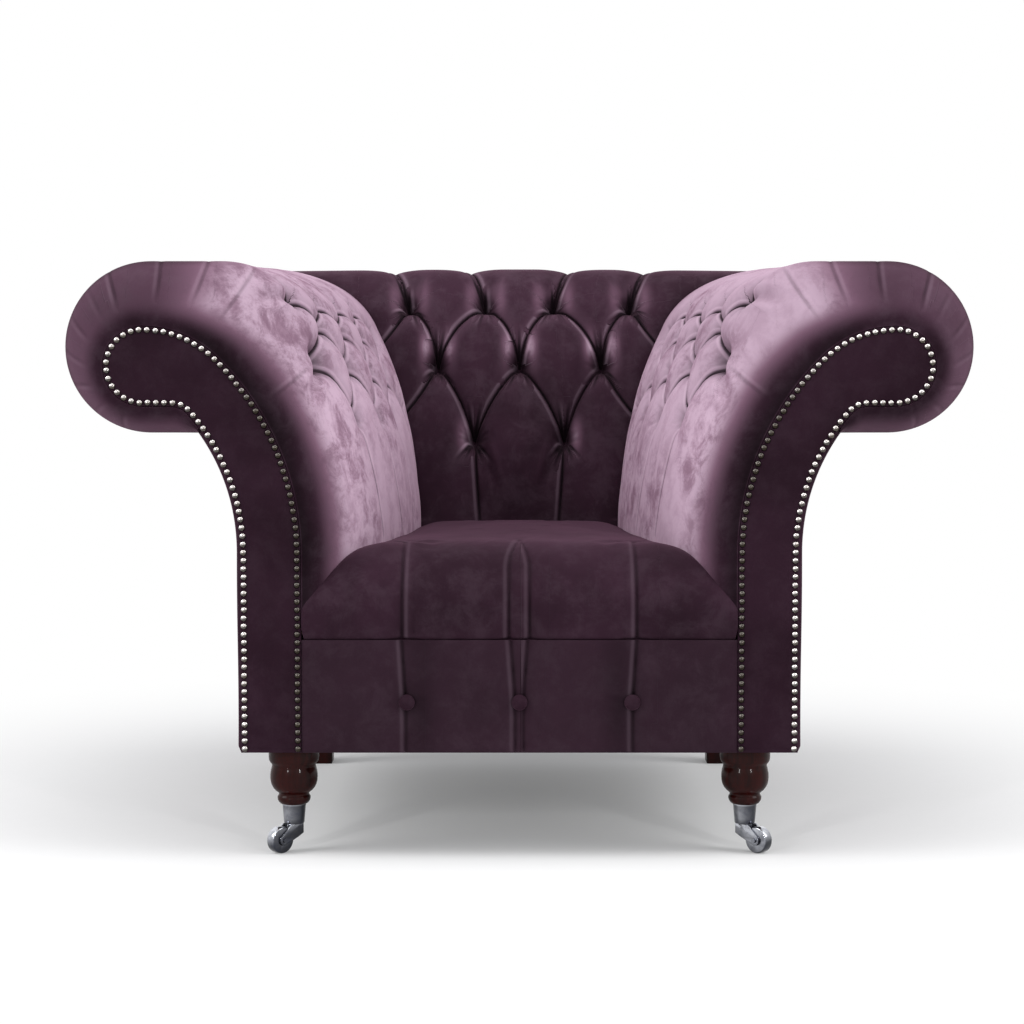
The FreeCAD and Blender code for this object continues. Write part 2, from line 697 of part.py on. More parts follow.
def nail_path(inset, y):
    """The facing's outline without its foot."""
    return facing_edges(inset, UNDERSIDE + 4, y)[:-1]


def make_facings():
    """Facing panels of the arms and the strips of nails round them."""
    facing = arm_prism(0, UNDERSIDE, 0, FACING_THICK)
    save_pair("arm_facing", facing)
    wide = prism(facing_edges(NAIL_INSET - NAIL_WIDTH / 2, UNDERSIDE + 4, y_of(0)), Vector(0, -NAIL_HIGH, 0))
    narrow = prism(facing_edges(NAIL_INSET + NAIL_WIDTH / 2, UNDERSIDE - 4, y_of(0)), Vector(0, -NAIL_HIGH, 0))
    strip = wide.cut(narrow)
    save_pair("facing_nails", strip)


def sweep_point(radius, z, y):
    """Point on the outward sweep of the arm's outer side."""
    return Vector(SWEEP_X - math.sqrt(radius**2 - (z - SWEEP_START) ** 2), y, z)


def make_outside_covers(arm_form):
    """Covers over the outer side of each arm and over the back of the frame."""
    y = y_of(FACING_THICK)
    top = ROLL_Z - ROLL_RADIUS
    half = (top + SWEEP_START) / 2
    outer = OUTER_SWEEP - COVER_THICK
    foot = Vector(POST_OUTER, y, UNDERSIDE)
    bend = Vector(POST_OUTER, y, SWEEP_START)
    wide = Vector(COVER_THICK, 0, 0)
    tip = sweep_point(OUTER_SWEEP, top, y)
    outer_tip = sweep_point(outer, top, y)
    edges = [line(foot, bend), arc(bend, sweep_point(OUTER_SWEEP, half, y), tip), line(tip, outer_tip),
             arc(outer_tip, sweep_point(outer, half, y), bend + wide), line(bend + wide, foot + wide),
             line(foot + wide, foot)]
    cover = prism(edges, Vector(0, BACK_COVER_FACE - COVER_THICK - FACING_THICK, 0)).cut(arm_form)
    save_pair("outside_arm", max(cover.Solids, key=lambda s: s.Volume))
    y = y_of(BACK_COVER_FACE - COVER_THICK)
    right = [Vector(POST_OUTER + COVER_THICK, y, UNDERSIDE), Vector(POST_OUTER + COVER_THICK, y, SWEEP_START),
             sweep_point(outer, half, y), sweep_point(outer, top, y)]
    left = [Vector(-v.x, v.y, v.z) for v in right]
    edges = [line(left[0], right[0]), line(right[0], right[1]), arc(*right[1:]), line(right[3], left[3]),
             arc(left[3], left[2], left[1]), line(left[1], left[0])]
    save("outside_back", prism(edges, Vector(0, COVER_THICK, 0)))


def make_arm_frame(bolt):
    """Boards and rails inside an arm."""
    foot = UNDERSIDE + RAIL_CLEARANCE
    front_end = FACING_THICK + BOARD
    front_board = arm_prism(TIMBER_GAP, foot, FACING_THICK, front_end)
    save_pair("arm_front_board", front_board.cut(bolt))
    half = ROLL_RAIL / 2
    y = y_of(REAR_BOARD_DEPTH)
    inner, outer = POST_INNER + TIMBER_GAP, POST_OUTER - TIMBER_GAP
    elbow = [(sweep_point(OUTER_SWEEP, z, 0).x - BOARD / 3, z) for z in (EYE_Z - 80, SWEEP_START + 100)]
    outline = [(inner, foot), (inner, SWEEP_START), (TURN_X - half, EYE_Z + half), (TURN_X + half, EYE_Z + half),
               (TURN_X + half, EYE_Z - half), (TURN_X - EYE_RADIUS, EYE_Z - half), *elbow,
               (outer, SWEEP_START), (outer, foot)]
    corners = [Vector(x, y, z) for x, z in outline]
    rear_board = Part.Face(Part.makePolygon(corners + corners[:1])).extrude(Vector(0, BOARD, 0))
    save_pair("arm_rear_board", rear_board.cut(bolt))
    roll_rail = block(TURN_X - half, TURN_X + half, front_end, REAR_BOARD_DEPTH, EYE_Z - half, EYE_Z + half)
    save_pair("arm_roll_rail", roll_rail.makeChamfer(8.0, [e for e in roll_rail.Edges if e.Length > 2 * ROLL_RAIL]))
    neck = (SWEEP_X - OUTER_SWEEP - 6, SWEEP_START + 60)
    top_rail = block(neck[0] - STUFFING_RAIL, neck[0], front_end, REAR_BOARD_DEPTH, neck[1], neck[1] + STUFFING_RAIL)
    save_pair("arm_top_rail", top_rail)
    inner = POST_INNER + TIMBER_GAP
    stuffing = block(inner, inner + RAIL, front_end, REAR_BOARD_DEPTH, PAD_FOOT, PAD_FOOT + STUFFING_RAIL)
    save_pair("arm_stuffing_rail", stuffing)
    side = block(inner, inner + RAIL, front_end, REAR_BOARD_DEPTH, foot, RAIL_TOP)
    save_pair("seat_side_rail", side.cut(bolt))


def make_back_frame():
    """Uprights and rails inside the back."""
    foot = UNDERSIDE + RAIL_CLEARANCE
    inner = POST_INNER + TIMBER_GAP
    post_in = inner - POST_WIDTH
    save_pair("back_post", back_core(TIMBER_GAP, foot, post_in, inner))
    half = ROLL_RAIL / 2
    eye_z = BACK_EYE_Z
    roll_rail = block(-post_in, post_in, BACK_ROLL_CENTRE - half, BACK_ROLL_CENTRE + half, eye_z - half, eye_z + half)
    save("back_roll_rail", roll_rail.makeChamfer(8.0, [e for e in roll_rail.Edges if e.Length > 2 * ROLL_RAIL]))
    front = BACK_CAVITY_FRONT + TIMBER_GAP
    save("back_top_rail", block(-post_in, post_in, front, front + RAIL, BACK_TOP_RAIL_Z, BACK_TOP_RAIL_Z + STUFFING_RAIL))
    save("back_stuffing_rail", block(-post_in, post_in, front, front + RAIL, PAD_FOOT, PAD_FOOT + STUFFING_RAIL))
    rear = BACK_COVER_FACE - COVER_THICK - TIMBER_GAP
    save("seat_back_rail", block(-post_in, post_in, rear - RAIL, rear, foot, RAIL_TOP))
    rail_end = FACING_THICK + BOARD
    save("seat_front_rail", block(-inner, inner, BORDER_THICK, rail_end, foot, RAIL_TOP))
    corners = [
        [(inner, rail_end), (inner - BLOCK_LEG, rail_end), (inner, rail_end + BLOCK_LEG)],
        [(inner, front), (inner - BLOCK_LEG, front), (inner, front - BLOCK_LEG)],
    ]
    blocks = [plan_prism(points, foot, foot + BLOCK_HIGH) for points in corners]
    save("corner_blocks", *blocks, *[mirrored(b) for b in blocks])
    return rear - RAIL


def webs(pitch, half_span):
    """Even places of webbing straps over a span, at about a pitch."""
    count = max(1, int(2 * half_span / pitch))
    even = 2 * half_span / count
    return [(k - (count - 1) / 2) * even for k in range(count)]


def make_webbing(front, rear):
    """Elastic straps across the seat opening, one layer each way, and straps behind the back padding."""
    half = WEB_WIDTH / 2
    low = RAIL_TOP
    grip = RAIL / 2
    along = [block(x - half, x + half, front - grip, rear + grip, low, low + SHEET)
             for x in webs(SEAT_WEB_PITCH_ALONG, POST_INNER - POST_WIDTH)]
    middle = (front + BACK_CAVITY_FRONT) / 2
    reach = POST_INNER + grip
    across = [block(-reach, reach, middle + d - half, middle + d + half, low + SHEET, low + 2 * SHEET)
              for d in webs(SEAT_WEB_PITCH_ACROSS, (BACK_CAVITY_FRONT - front) / 2)]
    save("seat_webbing", *along, *across)
    face = BACK_CAVITY_FRONT
    foot = PAD_FOOT + STUFFING_RAIL / 2
    top = BACK_TOP_RAIL_Z + STUFFING_RAIL / 2
    save("back_webbing", *[block(x - half, x + half, face, face + TIMBER_GAP, foot, top)
                           for x in webs(BACK_WEB_PITCH, POST_INNER - POST_WIDTH)])


def make_sheets():
    """Hessian over the webbing, and the dust cover underneath, notched round the legs."""
    inner = POST_INNER
    z = RAIL_TOP + 2 * SHEET
    save("seat_hessian", block(-inner, inner, BORDER_THICK, BACK_CAVITY_FRONT, z, z + SHEET))
    foot = UNDERSIDE
    cover = block(-POST_OUTER, POST_OUTER, BORDER_THICK, BACK_COVER_FACE - COVER_THICK, foot, foot + SHEET)
    reach = RING_RADIUS + SHEET
    front = block(LEG_X - reach, POST_OUTER, BORDER_THICK, LEG_DEPTH + reach, foot, foot + SHEET)
    half = REAR_LEG_TOP / 2 + SHEET
    rear = block(REAR_LEG_X - half, POST_OUTER, REAR_LEG_TOP_DEPTH - half, REAR_LEG_TOP_DEPTH + 2 * half, foot,
                 foot + SHEET)
    save("dust_cover", cover.cut([front, rear, mirrored(front), mirrored(rear)]))


def revolve(points, arcs, axis_point):
    """Turned solid from (radius, height) points. arcs maps an index to the bulge point of the edge that starts there."""
    v = [axis_point + Vector(r, 0, z) for r, z in points]
    edges = []
    for i, start in enumerate(v):
        end = v[(i + 1) % len(v)]
        if i in arcs:
            through = axis_point + Vector(arcs[i][0], 0, arcs[i][1])
            edges.append(arc(start, through, end))
        else:
            edges.append(line(start, end))
    return Part.Face(Part.Wire(edges)).revolve(axis_point, Vector(0, 0, 1), 360)


def front_leg():
    """Turned leg: ring, round bowl, ring and the peg that fills the castor cup."""
    top = UNDERSIDE + RAIL_CLEARANCE
    foot = LEG_FOOT
    peg_foot = foot - PEG_LENGTH

    def bowl_z(radius, side):
        return BOWL_Z + side * math.sqrt(BOWL_RADIUS**2 - radius**2)

    points = [
        (0, top), (RING_RADIUS, top), (RING_RADIUS, RING_FOOT), (BOWL_NECK, bowl_z(BOWL_NECK, 1)),
        (FOOT_NECK, bowl_z(FOOT_NECK, -1)), (FOOT_RING, foot + 8), (FOOT_RING - 2.5, foot),
        (PEG_RADIUS, foot), (PEG_RADIUS, peg_foot), (0, peg_foot),
    ]
    return revolve(points, {3: (BOWL_RADIUS, BOWL_Z)}, Vector(LEG_X, y_of(LEG_DEPTH), 0))


def rear_leg():
    """Square leg, tapered and raked backwards."""
    def corners(side, depth, z):
        h = side / 2
        return [Vector(REAR_LEG_X + i * h, y_of(depth) + j * h, z) for i, j in ((-1, -1), (1, -1), (1, 1), (-1, 1))]

    top = corners(REAR_LEG_TOP, REAR_LEG_TOP_DEPTH, UNDERSIDE + RAIL_CLEARANCE)
    foot = corners(REAR_LEG_FOOT, REAR_LEG_TOP_DEPTH + REAR_LEG_RAKE, 0)
    sides = [[top[k], top[(k + 1) % 4], foot[(k + 1) % 4], foot[k]] for k in range(4)]
    faces = [Part.Face(Part.makePolygon(ring + ring[:1])) for ring in [top, foot] + sides]
    return Part.Solid(Part.makeShell(faces))


def leg_bolt(x, depth):
    """Hanger bolt from the leg up into the frame."""
    foot = UNDERSIDE + RAIL_CLEARANCE - BOLT_DOWN
    return Part.makeCylinder(BOLT_RADIUS, BOLT_UP + BOLT_DOWN, Vector(x, y_of(depth), foot))


def make_legs():
    """Turned front legs on their bolts and square rear legs. Returns the bolt, which the frame is bored for."""
    bolt = leg_bolt(LEG_X, LEG_DEPTH)
    leg = front_leg().cut(bolt)
    save("front_legs", leg, mirrored(leg))
    save("leg_bolts", bolt, mirrored(bolt))
    save_pair("rear_leg", rear_leg())
    return bolt


def turned_about_axle(shape):
    """From the castor's own frame, where the wheel trails along -Y, to its place under the leg."""
    turned = shape.copy()
    turned.rotate(Vector(0, 0, 0), Vector(0, 0, 1), math.degrees(TRAIL_ANGLE))
    turned.translate(Vector(LEG_X, y_of(LEG_DEPTH), 0))
    return turned


def castor_cup():
    """Tapered cup on the leg's peg, open at the top."""
    peg_foot = LEG_FOOT - PEG_LENGTH
    points = [
        (PIN_RADIUS, CUP_FLOOR), (CUP_FOOT_RADIUS, CUP_FLOOR), (CUP_RIM_RADIUS, LEG_FOOT), (PEG_RADIUS, LEG_FOOT),
        (PEG_RADIUS, peg_foot), (PIN_RADIUS, peg_foot),
    ]
    return revolve(points, {}, Vector(0, 0, 0))


def castor_pin():
    """Swivel rivet, fast in the floor of the cup."""
    foot = HORN_FOOT + CASTOR_GAP
    return Part.makeCylinder(PIN_RADIUS, LEG_FOOT - PEG_LENGTH - foot, Vector(0, 0, foot))


def castor_horn():
    """Forked horn: a boss on the swivel rivet and two cheeks down to the axle."""
    top = CUP_FLOOR - CASTOR_GAP
    x = -HORN_HALF
    nose = HORN_NOSE
    diagonal = nose * math.sqrt(0.5)
    points = [Vector(x, y, z) for y, z in (
        (HORN_HEEL, top), (-TRAIL * 0.5, top), (-TRAIL - diagonal, WHEEL_RADIUS + diagonal),
        (-TRAIL, WHEEL_RADIUS - nose), (0, HORN_FOOT - 4), (HORN_HEEL, HORN_FOOT))]
    front = Vector(x, -TRAIL - nose, WHEEL_RADIUS)
    edges = [line(a, b) for a, b in zip(points, points[1:] + points[:1])]
    edges[2] = arc(points[2], front, points[3])
    horn = prism(edges, Vector(2 * HORN_HALF, 0, 0))
    half = WHEEL_HALF + CASTOR_GAP
    slot = Part.makeBox(2 * half, 60, 80, Vector(-half, -60 - TRAIL + WHEEL_RADIUS + WHEEL_CLEARANCE, -20))
    bore = Part.makeCylinder(PIN_RADIUS + PIN_CLEARANCE, 80, Vector(0, 0, -20))
    axle_bore = Part.makeCylinder(PIN_RADIUS, 60, Vector(-30, -TRAIL, WHEEL_RADIUS), Vector(1, 0, 0))
    return horn.cut([slot, bore, axle_bore])


def castor_wheel():
    """Solid wheel, bored for its axle."""
    along = Vector(1, 0, 0)
    start = Vector(-WHEEL_HALF, -TRAIL, WHEEL_RADIUS)
    wheel = Part.makeCylinder(WHEEL_RADIUS, 2 * WHEEL_HALF, start, along)
    return wheel.cut(Part.makeCylinder(PIN_RADIUS + PIN_CLEARANCE, 2 * WHEEL_HALF, start, along))


def castor_axle():
    return Part.makeCylinder(PIN_RADIUS, 2 * AXLE_HALF, Vector(-AXLE_HALF, -TRAIL, WHEEL_RADIUS), Vector(1, 0, 0))


def make_castors():
    """Cup, rivet, horn, axle and wheel under each front leg."""
    cup = turned_about_axle(castor_cup())
    pin = turned_about_axle(castor_pin())
    save("castor_cups", cup, mirrored(cup))
    save("castor_pins", pin, mirrored(pin))
    save_pair("castor_horn", turned_about_axle(castor_horn()))
    save_pair("castor_axle", turned_about_axle(castor_axle()))
    save_pair("castor_wheel", turned_about_axle(castor_wheel()))


def main():
    os.makedirs(PARTS, exist_ok=True)
    bolt = make_legs()
    make_castors()
    make_facings()
    make_arm_frame(bolt)
    rear = make_back_frame()
    make_webbing(FACING_THICK + BOARD, rear)
    make_sheets()
    back_solid = make_back()
    arm_form = make_arms(back_solid)
    make_outside_covers(arm_form)
    make_seat(arm_form, back_solid)


main()
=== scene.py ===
import math

import bmesh
import bpy
import numpy as np
from bpy.props import FloatProperty, FloatVectorProperty, IntProperty, PointerProperty
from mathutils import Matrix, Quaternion, Vector


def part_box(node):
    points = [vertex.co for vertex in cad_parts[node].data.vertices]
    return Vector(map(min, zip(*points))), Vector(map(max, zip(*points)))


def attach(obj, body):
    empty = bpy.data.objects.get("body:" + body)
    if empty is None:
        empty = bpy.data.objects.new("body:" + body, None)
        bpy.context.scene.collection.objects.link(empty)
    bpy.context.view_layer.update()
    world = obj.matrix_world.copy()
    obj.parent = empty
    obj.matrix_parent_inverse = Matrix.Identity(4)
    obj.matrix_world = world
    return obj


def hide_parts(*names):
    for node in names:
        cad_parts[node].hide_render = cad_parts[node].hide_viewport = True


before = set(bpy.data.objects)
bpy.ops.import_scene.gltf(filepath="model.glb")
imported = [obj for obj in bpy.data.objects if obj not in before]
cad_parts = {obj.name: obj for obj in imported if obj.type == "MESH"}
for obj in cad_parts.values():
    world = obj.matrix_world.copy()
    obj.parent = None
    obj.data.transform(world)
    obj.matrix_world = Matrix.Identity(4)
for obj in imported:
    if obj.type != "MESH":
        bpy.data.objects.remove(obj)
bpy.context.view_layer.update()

bl_info = {
    "name": "Chesterfield armchair",
    "version": (1, 0, 0),
    "blender": (4, 5, 0),
    "location": "3D View > Sidebar > Armchair",
    "description": "Builds the velvet, nails, buttons, legs and castors of a chesterfield armchair",
    "category": "Object",
}

MM = 0.001
FRONT_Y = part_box("facing_nails_left")[1].y
FLOOR_Z = 0.0

# The arm's outline, in millimetres from the middle and above the floor, and depths behind the facings
EYE_X, EYE_Z, EYE_RADIUS = 487.0, 643.0, 52.0
TURN_X, TURN_Z, TURN_RADIUS = 487.0, 557.0, 138.0
SWEEP_X, SWEEP_Z, SWEEP_RADIUS, OUTER_SWEEP = 644.0, 400.0, 360.0, 281.0
ELBOW_RADIUS = 27.0
POST_INNER, POST_OUTER = 284.0, 363.0
UNDERSIDE, SEAM_Z, PAD_FOOT = 140.0, 288.0, 300.0
ROLL_X, ROLL_Z, ROLL_RADIUS = 485.0, 669.0, 113.0
CROWN_X, CROWN_Z, CROWN_RADIUS = 390.0, 632.0, 150.0
TUCK = (415.0, ROLL_Z - ROLL_RADIUS)
MITRE_DEPTH = 812.0
COVER_DEPTH = 787.0


def smooth(t):
    t = np.clip(t, 0, 1)
    return t * t * (3 - 2 * t)


def line_points(a, b, count):
    t = np.arange(count)[:, None] / count
    return np.array(a) + (np.array(b) - np.array(a)) * t


def arc_points(centre, radius, start, end, count):
    turn = np.radians(start + (end - start) * np.arange(count) / count)
    return np.stack([centre[0] + radius * np.cos(turn), centre[1] + radius * np.sin(turn)], 1)


def to_world(x, depth, z):
    """Metres in the frame from millimetres and a depth behind the facings."""
    return np.stack(np.broadcast_arrays(x * MM, depth * MM + FRONT_Y, z * MM), -1)


def facing_outline(inset, foot, step):
    """The facing's outline from its inner foot round the eye to its outer foot, with the same counts at every inset."""
    inner, outer = SWEEP_RADIUS - inset, OUTER_SWEEP + inset
    turn, eye, elbow = TURN_RADIUS - inset, EYE_RADIUS - inset, ELBOW_RADIUS + inset
    floor = EYE_Z - eye
    drop = floor - elbow - SWEEP_Z
    elbow_x = SWEEP_X - math.sqrt((outer - elbow) ** 2 - drop**2)
    bend = math.degrees(math.atan2(drop, SWEEP_X - elbow_x))

    def count(length):
        return max(2, round(length / step))

    upright = count(SWEEP_Z - UNDERSIDE)
    runs = [
        line_points((POST_INNER + inset, foot), (POST_INNER + inset, SWEEP_Z), upright),
        arc_points((SWEEP_X, SWEEP_Z), inner, 180, 135, count(SWEEP_RADIUS * math.pi / 4)),
        arc_points((TURN_X, TURN_Z), turn, 135, 90, count(TURN_RADIUS * math.pi / 4)),
        arc_points((EYE_X, EYE_Z), eye, 90, -90, count(EYE_RADIUS * math.pi)),
        line_points((EYE_X, floor), (elbow_x, floor), count(37)),
        arc_points((elbow_x, floor - elbow), elbow, 90, 180 - bend, count(ELBOW_RADIUS)),
        arc_points((SWEEP_X, SWEEP_Z), outer, 180 - bend, 180, count(OUTER_SWEEP * 0.6)),
        line_points((POST_OUTER - inset, SWEEP_Z), (POST_OUTER - inset, foot), upright),
        np.array([(POST_OUTER - inset, foot)]),
    ]
    return np.concatenate(runs)


class ArmForm:
    """Smooth outer form of an arm: places along its outline and depths give points."""

    def __init__(self, step):
        eye = EYE_RADIUS + 2.5
        sweep = SWEEP_RADIUS + 2.5
        turn = TURN_RADIUS + 2.5
        rise = math.degrees(math.acos((TURN_X - 431.0) / turn))
        face = (CROWN_X - CROWN_RADIUS * math.cos(math.radians(22.6)), CROWN_Z + CROWN_RADIUS * math.sin(math.radians(22.6)))
        foot = (178.0, 390.0)
        chord = math.hypot(face[0] - foot[0], face[1] - foot[1])
        bulge_radius = 600.0
        mid = ((face[0] + foot[0]) / 2, (face[1] + foot[1]) / 2)
        away = math.sqrt(bulge_radius**2 - (chord / 2) ** 2)
        centre = (mid[0] + away * (face[1] - foot[1]) / chord, mid[1] - away * (face[0] - foot[0]) / chord)
        a0 = math.degrees(math.atan2(face[1] - centre[1], face[0] - centre[0]))
        a1 = math.degrees(math.atan2(foot[1] - centre[1], foot[0] - centre[0])) % 360
        n = [max(4, round(length / step)) for length in (70 / 2, 358 / 1.5, 95, 176, 312, 90 / 2)]
        self.full = np.concatenate([
            line_points(TUCK, (ROLL_X, ROLL_Z - ROLL_RADIUS), n[0]),
            arc_points((ROLL_X, ROLL_Z), ROLL_RADIUS, -90, 90, n[1]),
            line_points((ROLL_X, ROLL_Z + ROLL_RADIUS), (CROWN_X, ROLL_Z + ROLL_RADIUS), n[2]),
            arc_points((CROWN_X, CROWN_Z), CROWN_RADIUS, 90, 157.4, n[3]),
            arc_points(centre, bulge_radius, a0 % 360, a1, n[4]),
            line_points(foot, (172, PAD_FOOT), n[5]),
            np.array([(172.0, PAD_FOOT)]),
        ])
        half = n[4] // 2
        on_turn = n[3] * 2 // 3
        self.rim = np.concatenate([
            self.tuck_rim(n[0]),
            arc_points((EYE_X, EYE_Z), eye, -90, 90, n[1]),
            arc_points((TURN_X, TURN_Z), turn, 90, 180 - rise, n[2]),
            arc_points((TURN_X, TURN_Z), turn, 180 - rise, 135, on_turn),
            arc_points((SWEEP_X, SWEEP_Z), sweep, 135, 143.5, n[3] - on_turn),
            arc_points((SWEEP_X, SWEEP_Z), sweep, 143.5, 180, n[4] - n[4] // 12),
            line_points((POST_INNER - 2.5, SWEEP_Z), (POST_INNER - 2.5, 390), n[4] // 12),
            line_points((POST_INNER - 2.5, 390), (POST_INNER - 2.5, PAD_FOOT), n[5]),
            np.array([(POST_INNER - 2.5, PAD_FOOT)]),
        ])
        self.run = np.concatenate([[0], np.cumsum(np.linalg.norm(np.diff(self.full, axis=0), axis=1))])
        marks = np.cumsum([0] + n)
        self.marks = self.run[marks]
        top, crown, face_at = self.marks[2], self.marks[3], self.marks[4]
        self.inside = smooth((self.run - top) / (face_at - top))
        self.rounding = 68 + (300 - 68) * smooth((self.run - crown) / (face_at + 60 - crown))
        self.lift = smooth((self.run - self.marks[1] - 150) / 150) * (1 - smooth((self.run - face_at) / 250))

    @staticmethod
    def tuck_rim(count):
        """Edge of the facing from below its elbow to the lowest point of its eye, evenly spaced."""
        edge = facing_outline(-2.5, UNDERSIDE, 2.0)[::-1]
        first = np.argmax(edge[:, 1] > TUCK[1] + 1)
        last = np.argmax(edge[:, 0] > EYE_X - 1)
        edge = edge[first:last + 1]
        run = np.concatenate([[0], np.cumsum(np.linalg.norm(np.diff(edge, axis=0), axis=1))])
        places = np.linspace(0, run[-1], count, endpoint=False)
        return np.stack([np.interp(places, run, edge[:, 0]), np.interp(places, run, edge[:, 1])], 1)

    def section(self, depth, places=None):
        """(x, z) round the outline at one depth or at a depth for each place."""
        depth = np.asarray(depth, float)
        places = self.run if places is None else np.asarray(places, float)

        def along(values):
            return np.interp(places, self.run, values)

        fx, fz = along(self.full[:, 0]), along(self.full[:, 1])
        rx, rz = along(self.rim[:, 0]), along(self.rim[:, 1])
        share = np.sqrt(np.clip(1 - (1 - np.clip(depth / along(self.rounding), 0, 1)) ** 2, 0, 1))
        fx = fx - 32 * (1 - np.exp(-np.maximum(depth - 235, 0) / 200)) * along(self.inside)
        fz = fz + 15 * smooth((depth - 90) / 600) * along(self.lift)
        return rx + (fx - rx) * share, rz + (fz - rz) * share

    def place_at_height(self, z):
        """Place on the inner side where the full outline has a height."""
        first = np.searchsorted(self.run, self.marks[2])
        return np.interp(-z, -self.full[first:, 1], self.run[first:])

    def place_on_side(self, depth, z):
        """Place on the inner side where the form has a height at a depth."""
        _, height = self.section(depth)
        first = np.searchsorted(self.run, self.marks[2])
        return float(np.interp(-z, -height[first:], self.run[first:]))

    def inner_x(self, depth, z):
        """X of the inner side at a depth and height."""
        x, height = self.section(depth)
        first = np.searchsorted(self.run, self.marks[2])
        return np.interp(z, height[first:][::-1], x[first:][::-1])


class BackForm:
    """Smooth outer profile of the back as (depth, height), by place along it."""

    KNOTS = ((588, 300), (588, 350), (590, 400), (601, 465), (612, 530), (631, 590), (652, 648), (675, 705), (702, 753),
             (740, 790), (785, 803), (832, 799), (875, 778), (908, 742), (925, 694), (922, 640), (896, 595), (852, 568),
             (812, 560), (COVER_DEPTH, 560))

    def __init__(self, step):
        k = np.array(self.KNOTS, float)
        ends = np.concatenate([[2 * k[0] - k[1]], k, [2 * k[-1] - k[-2]]])
        fine = []
        for a, b, c, d in zip(ends, ends[1:], ends[2:], ends[3:]):
            t = np.linspace(0, 1, 24, endpoint=False)[:, None]
            fine.append(0.5 * (2 * b + (c - a) * t + (2 * a - 5 * b + 4 * c - d) * t**2 + (3 * b - a - 3 * c + d) * t**3))
        fine = np.concatenate(fine + [k[-1:]])
        run = np.concatenate([[0], np.cumsum(np.linalg.norm(np.diff(fine, axis=0), axis=1))])
        front = run[np.argmax(fine[:, 1])] + 130
        self.run = np.concatenate([np.arange(0, front, step), np.arange(front, run[-1], step * 2), run[-1:]])
        self.points = np.stack([np.interp(self.run, run, fine[:, 0]), np.interp(self.run, run, fine[:, 1])], 1)
        self.crest = np.argmax(self.points[:, 1])

    def place_at_height(self, z):
        return np.interp(z, self.points[: self.crest + 1, 1], self.run[: self.crest + 1])

    def depth_at_height(self, z):
        return np.interp(z, self.points[: self.crest + 1, 1], self.points[: self.crest + 1, 0])

    def at(self, place):
        return np.interp(place, self.run, self.points[:, 0]), np.interp(place, self.run, self.points[:, 1])


def surface_normals(points, flip=1.0):
    """Unit normals of a grid of points."""
    across = np.gradient(points, axis=0)
    along = np.gradient(points, axis=1)
    normal = np.cross(along, across) * flip
    return normal / np.maximum(np.linalg.norm(normal, axis=2, keepdims=True), 1e-12)


class Upholstery:
    """Height field over a padded surface: folds, button pits and gathers pull it in along its normals."""

    def __init__(self, points, normals):
        self.shape = points.shape[:2]
        self.points = points.reshape(-1, 3) / MM
        self.normals = normals.reshape(-1, 3)
        count = len(self.points)
        self.valley = np.zeros(count)
        self.extra = np.zeros(count)
        self.nearest = np.full(count, 1e3)
        self.side = np.zeros(count)
        self.strength = np.zeros(count)

    def _near(self, path, reach):
        path = np.asarray(path)
        low, high = path.min(0) - reach, path.max(0) + reach
        return np.nonzero(np.all((self.points > low) & (self.points < high), axis=1))[0]

    def _measure(self, path, ids):
        """Distance to a run of points, share of the way along it and side of it."""
        path = np.asarray(path)
        p, n = self.points[ids], self.normals[ids]
        lengths = np.linalg.norm(np.diff(path, axis=0), axis=1)
        before = np.concatenate([[0], np.cumsum(lengths)])
        best = np.full(len(ids), 1e9)
        place = np.zeros(len(ids))
        side = np.zeros(len(ids))
        for i, length in enumerate(lengths):
            if length < 1e-6:
                continue
            along = (path[i + 1] - path[i]) / length
            t = np.clip((p - path[i]) @ along, 0, length)
            off = p - (path[i] + t[:, None] * along)
            distance = np.linalg.norm(off, axis=1)
            better = distance < best
            best = np.where(better, distance, best)
            place = np.where(better, (before[i] + t) / before[-1], place)
            side = np.where(better, np.einsum("ij,ij->i", np.cross(along, n), off), side)
        return best, place, np.sign(side)

    def fold(self, path, depths, width, line=1.0):
        """Crisp valley along a path, with its depth at the start, middle and end."""
        ids = self._near(path, width)
        if not len(ids):
            return
        distance, place, side = self._measure(path, ids)
        start, middle, end = depths
        deep = middle + (start - middle) * (1 - place) ** 3 + (end - middle) * place**3
        x = np.clip(distance / width, 0, 1)
        shape = 1 - np.sqrt(np.clip(1 - (1 - x) ** 2, 0, 1))
        self.valley[ids] += (deep * shape) ** 3
        if not line:
            return
        mine = distance < self.nearest[ids]
        chosen = ids[mine]
        self.nearest[chosen] = distance[mine]
        self.side[chosen] = side[mine]
        self.strength[chosen] = line * np.clip(deep[mine] / 9, 0, 1)

    def gather(self, path, depth, width):
        """Soft little furrow that dies out at its far end."""
        ids = self._near(path, width * 1.5)
        if not len(ids):
            return
        distance, place, _ = self._measure(path, ids)
        x = np.clip(distance / width, 0, 1.5)
        profile = np.exp(-((x * 1.7) ** 2)) - 0.35 * np.exp(-(((x - 0.95) * 2.6) ** 2))
        self.extra[ids] += depth * profile * smooth((1 - place) * 2.2) * smooth(place * 6 + 0.3)

    def pit(self, point, depth, radius):
        ids = self._near([point], radius * 3)
        distance = np.linalg.norm(self.points[ids] - point, axis=1)
        self.extra[ids] += depth * np.exp(-((distance / radius) ** 2))

    def depth(self):
        return (np.cbrt(self.valley) + self.extra).reshape(self.shape)

    def crease(self):
        """Signed distance to the nearest fold in units of 80 mm, with 0.5 on the fold, and its strength."""
        signed = np.clip(self.nearest * np.where(self.side >= 0, 1, -1) / 80, -0.5, 0.5) + 0.5
        return signed.reshape(self.shape), self.strength.reshape(self.shape)


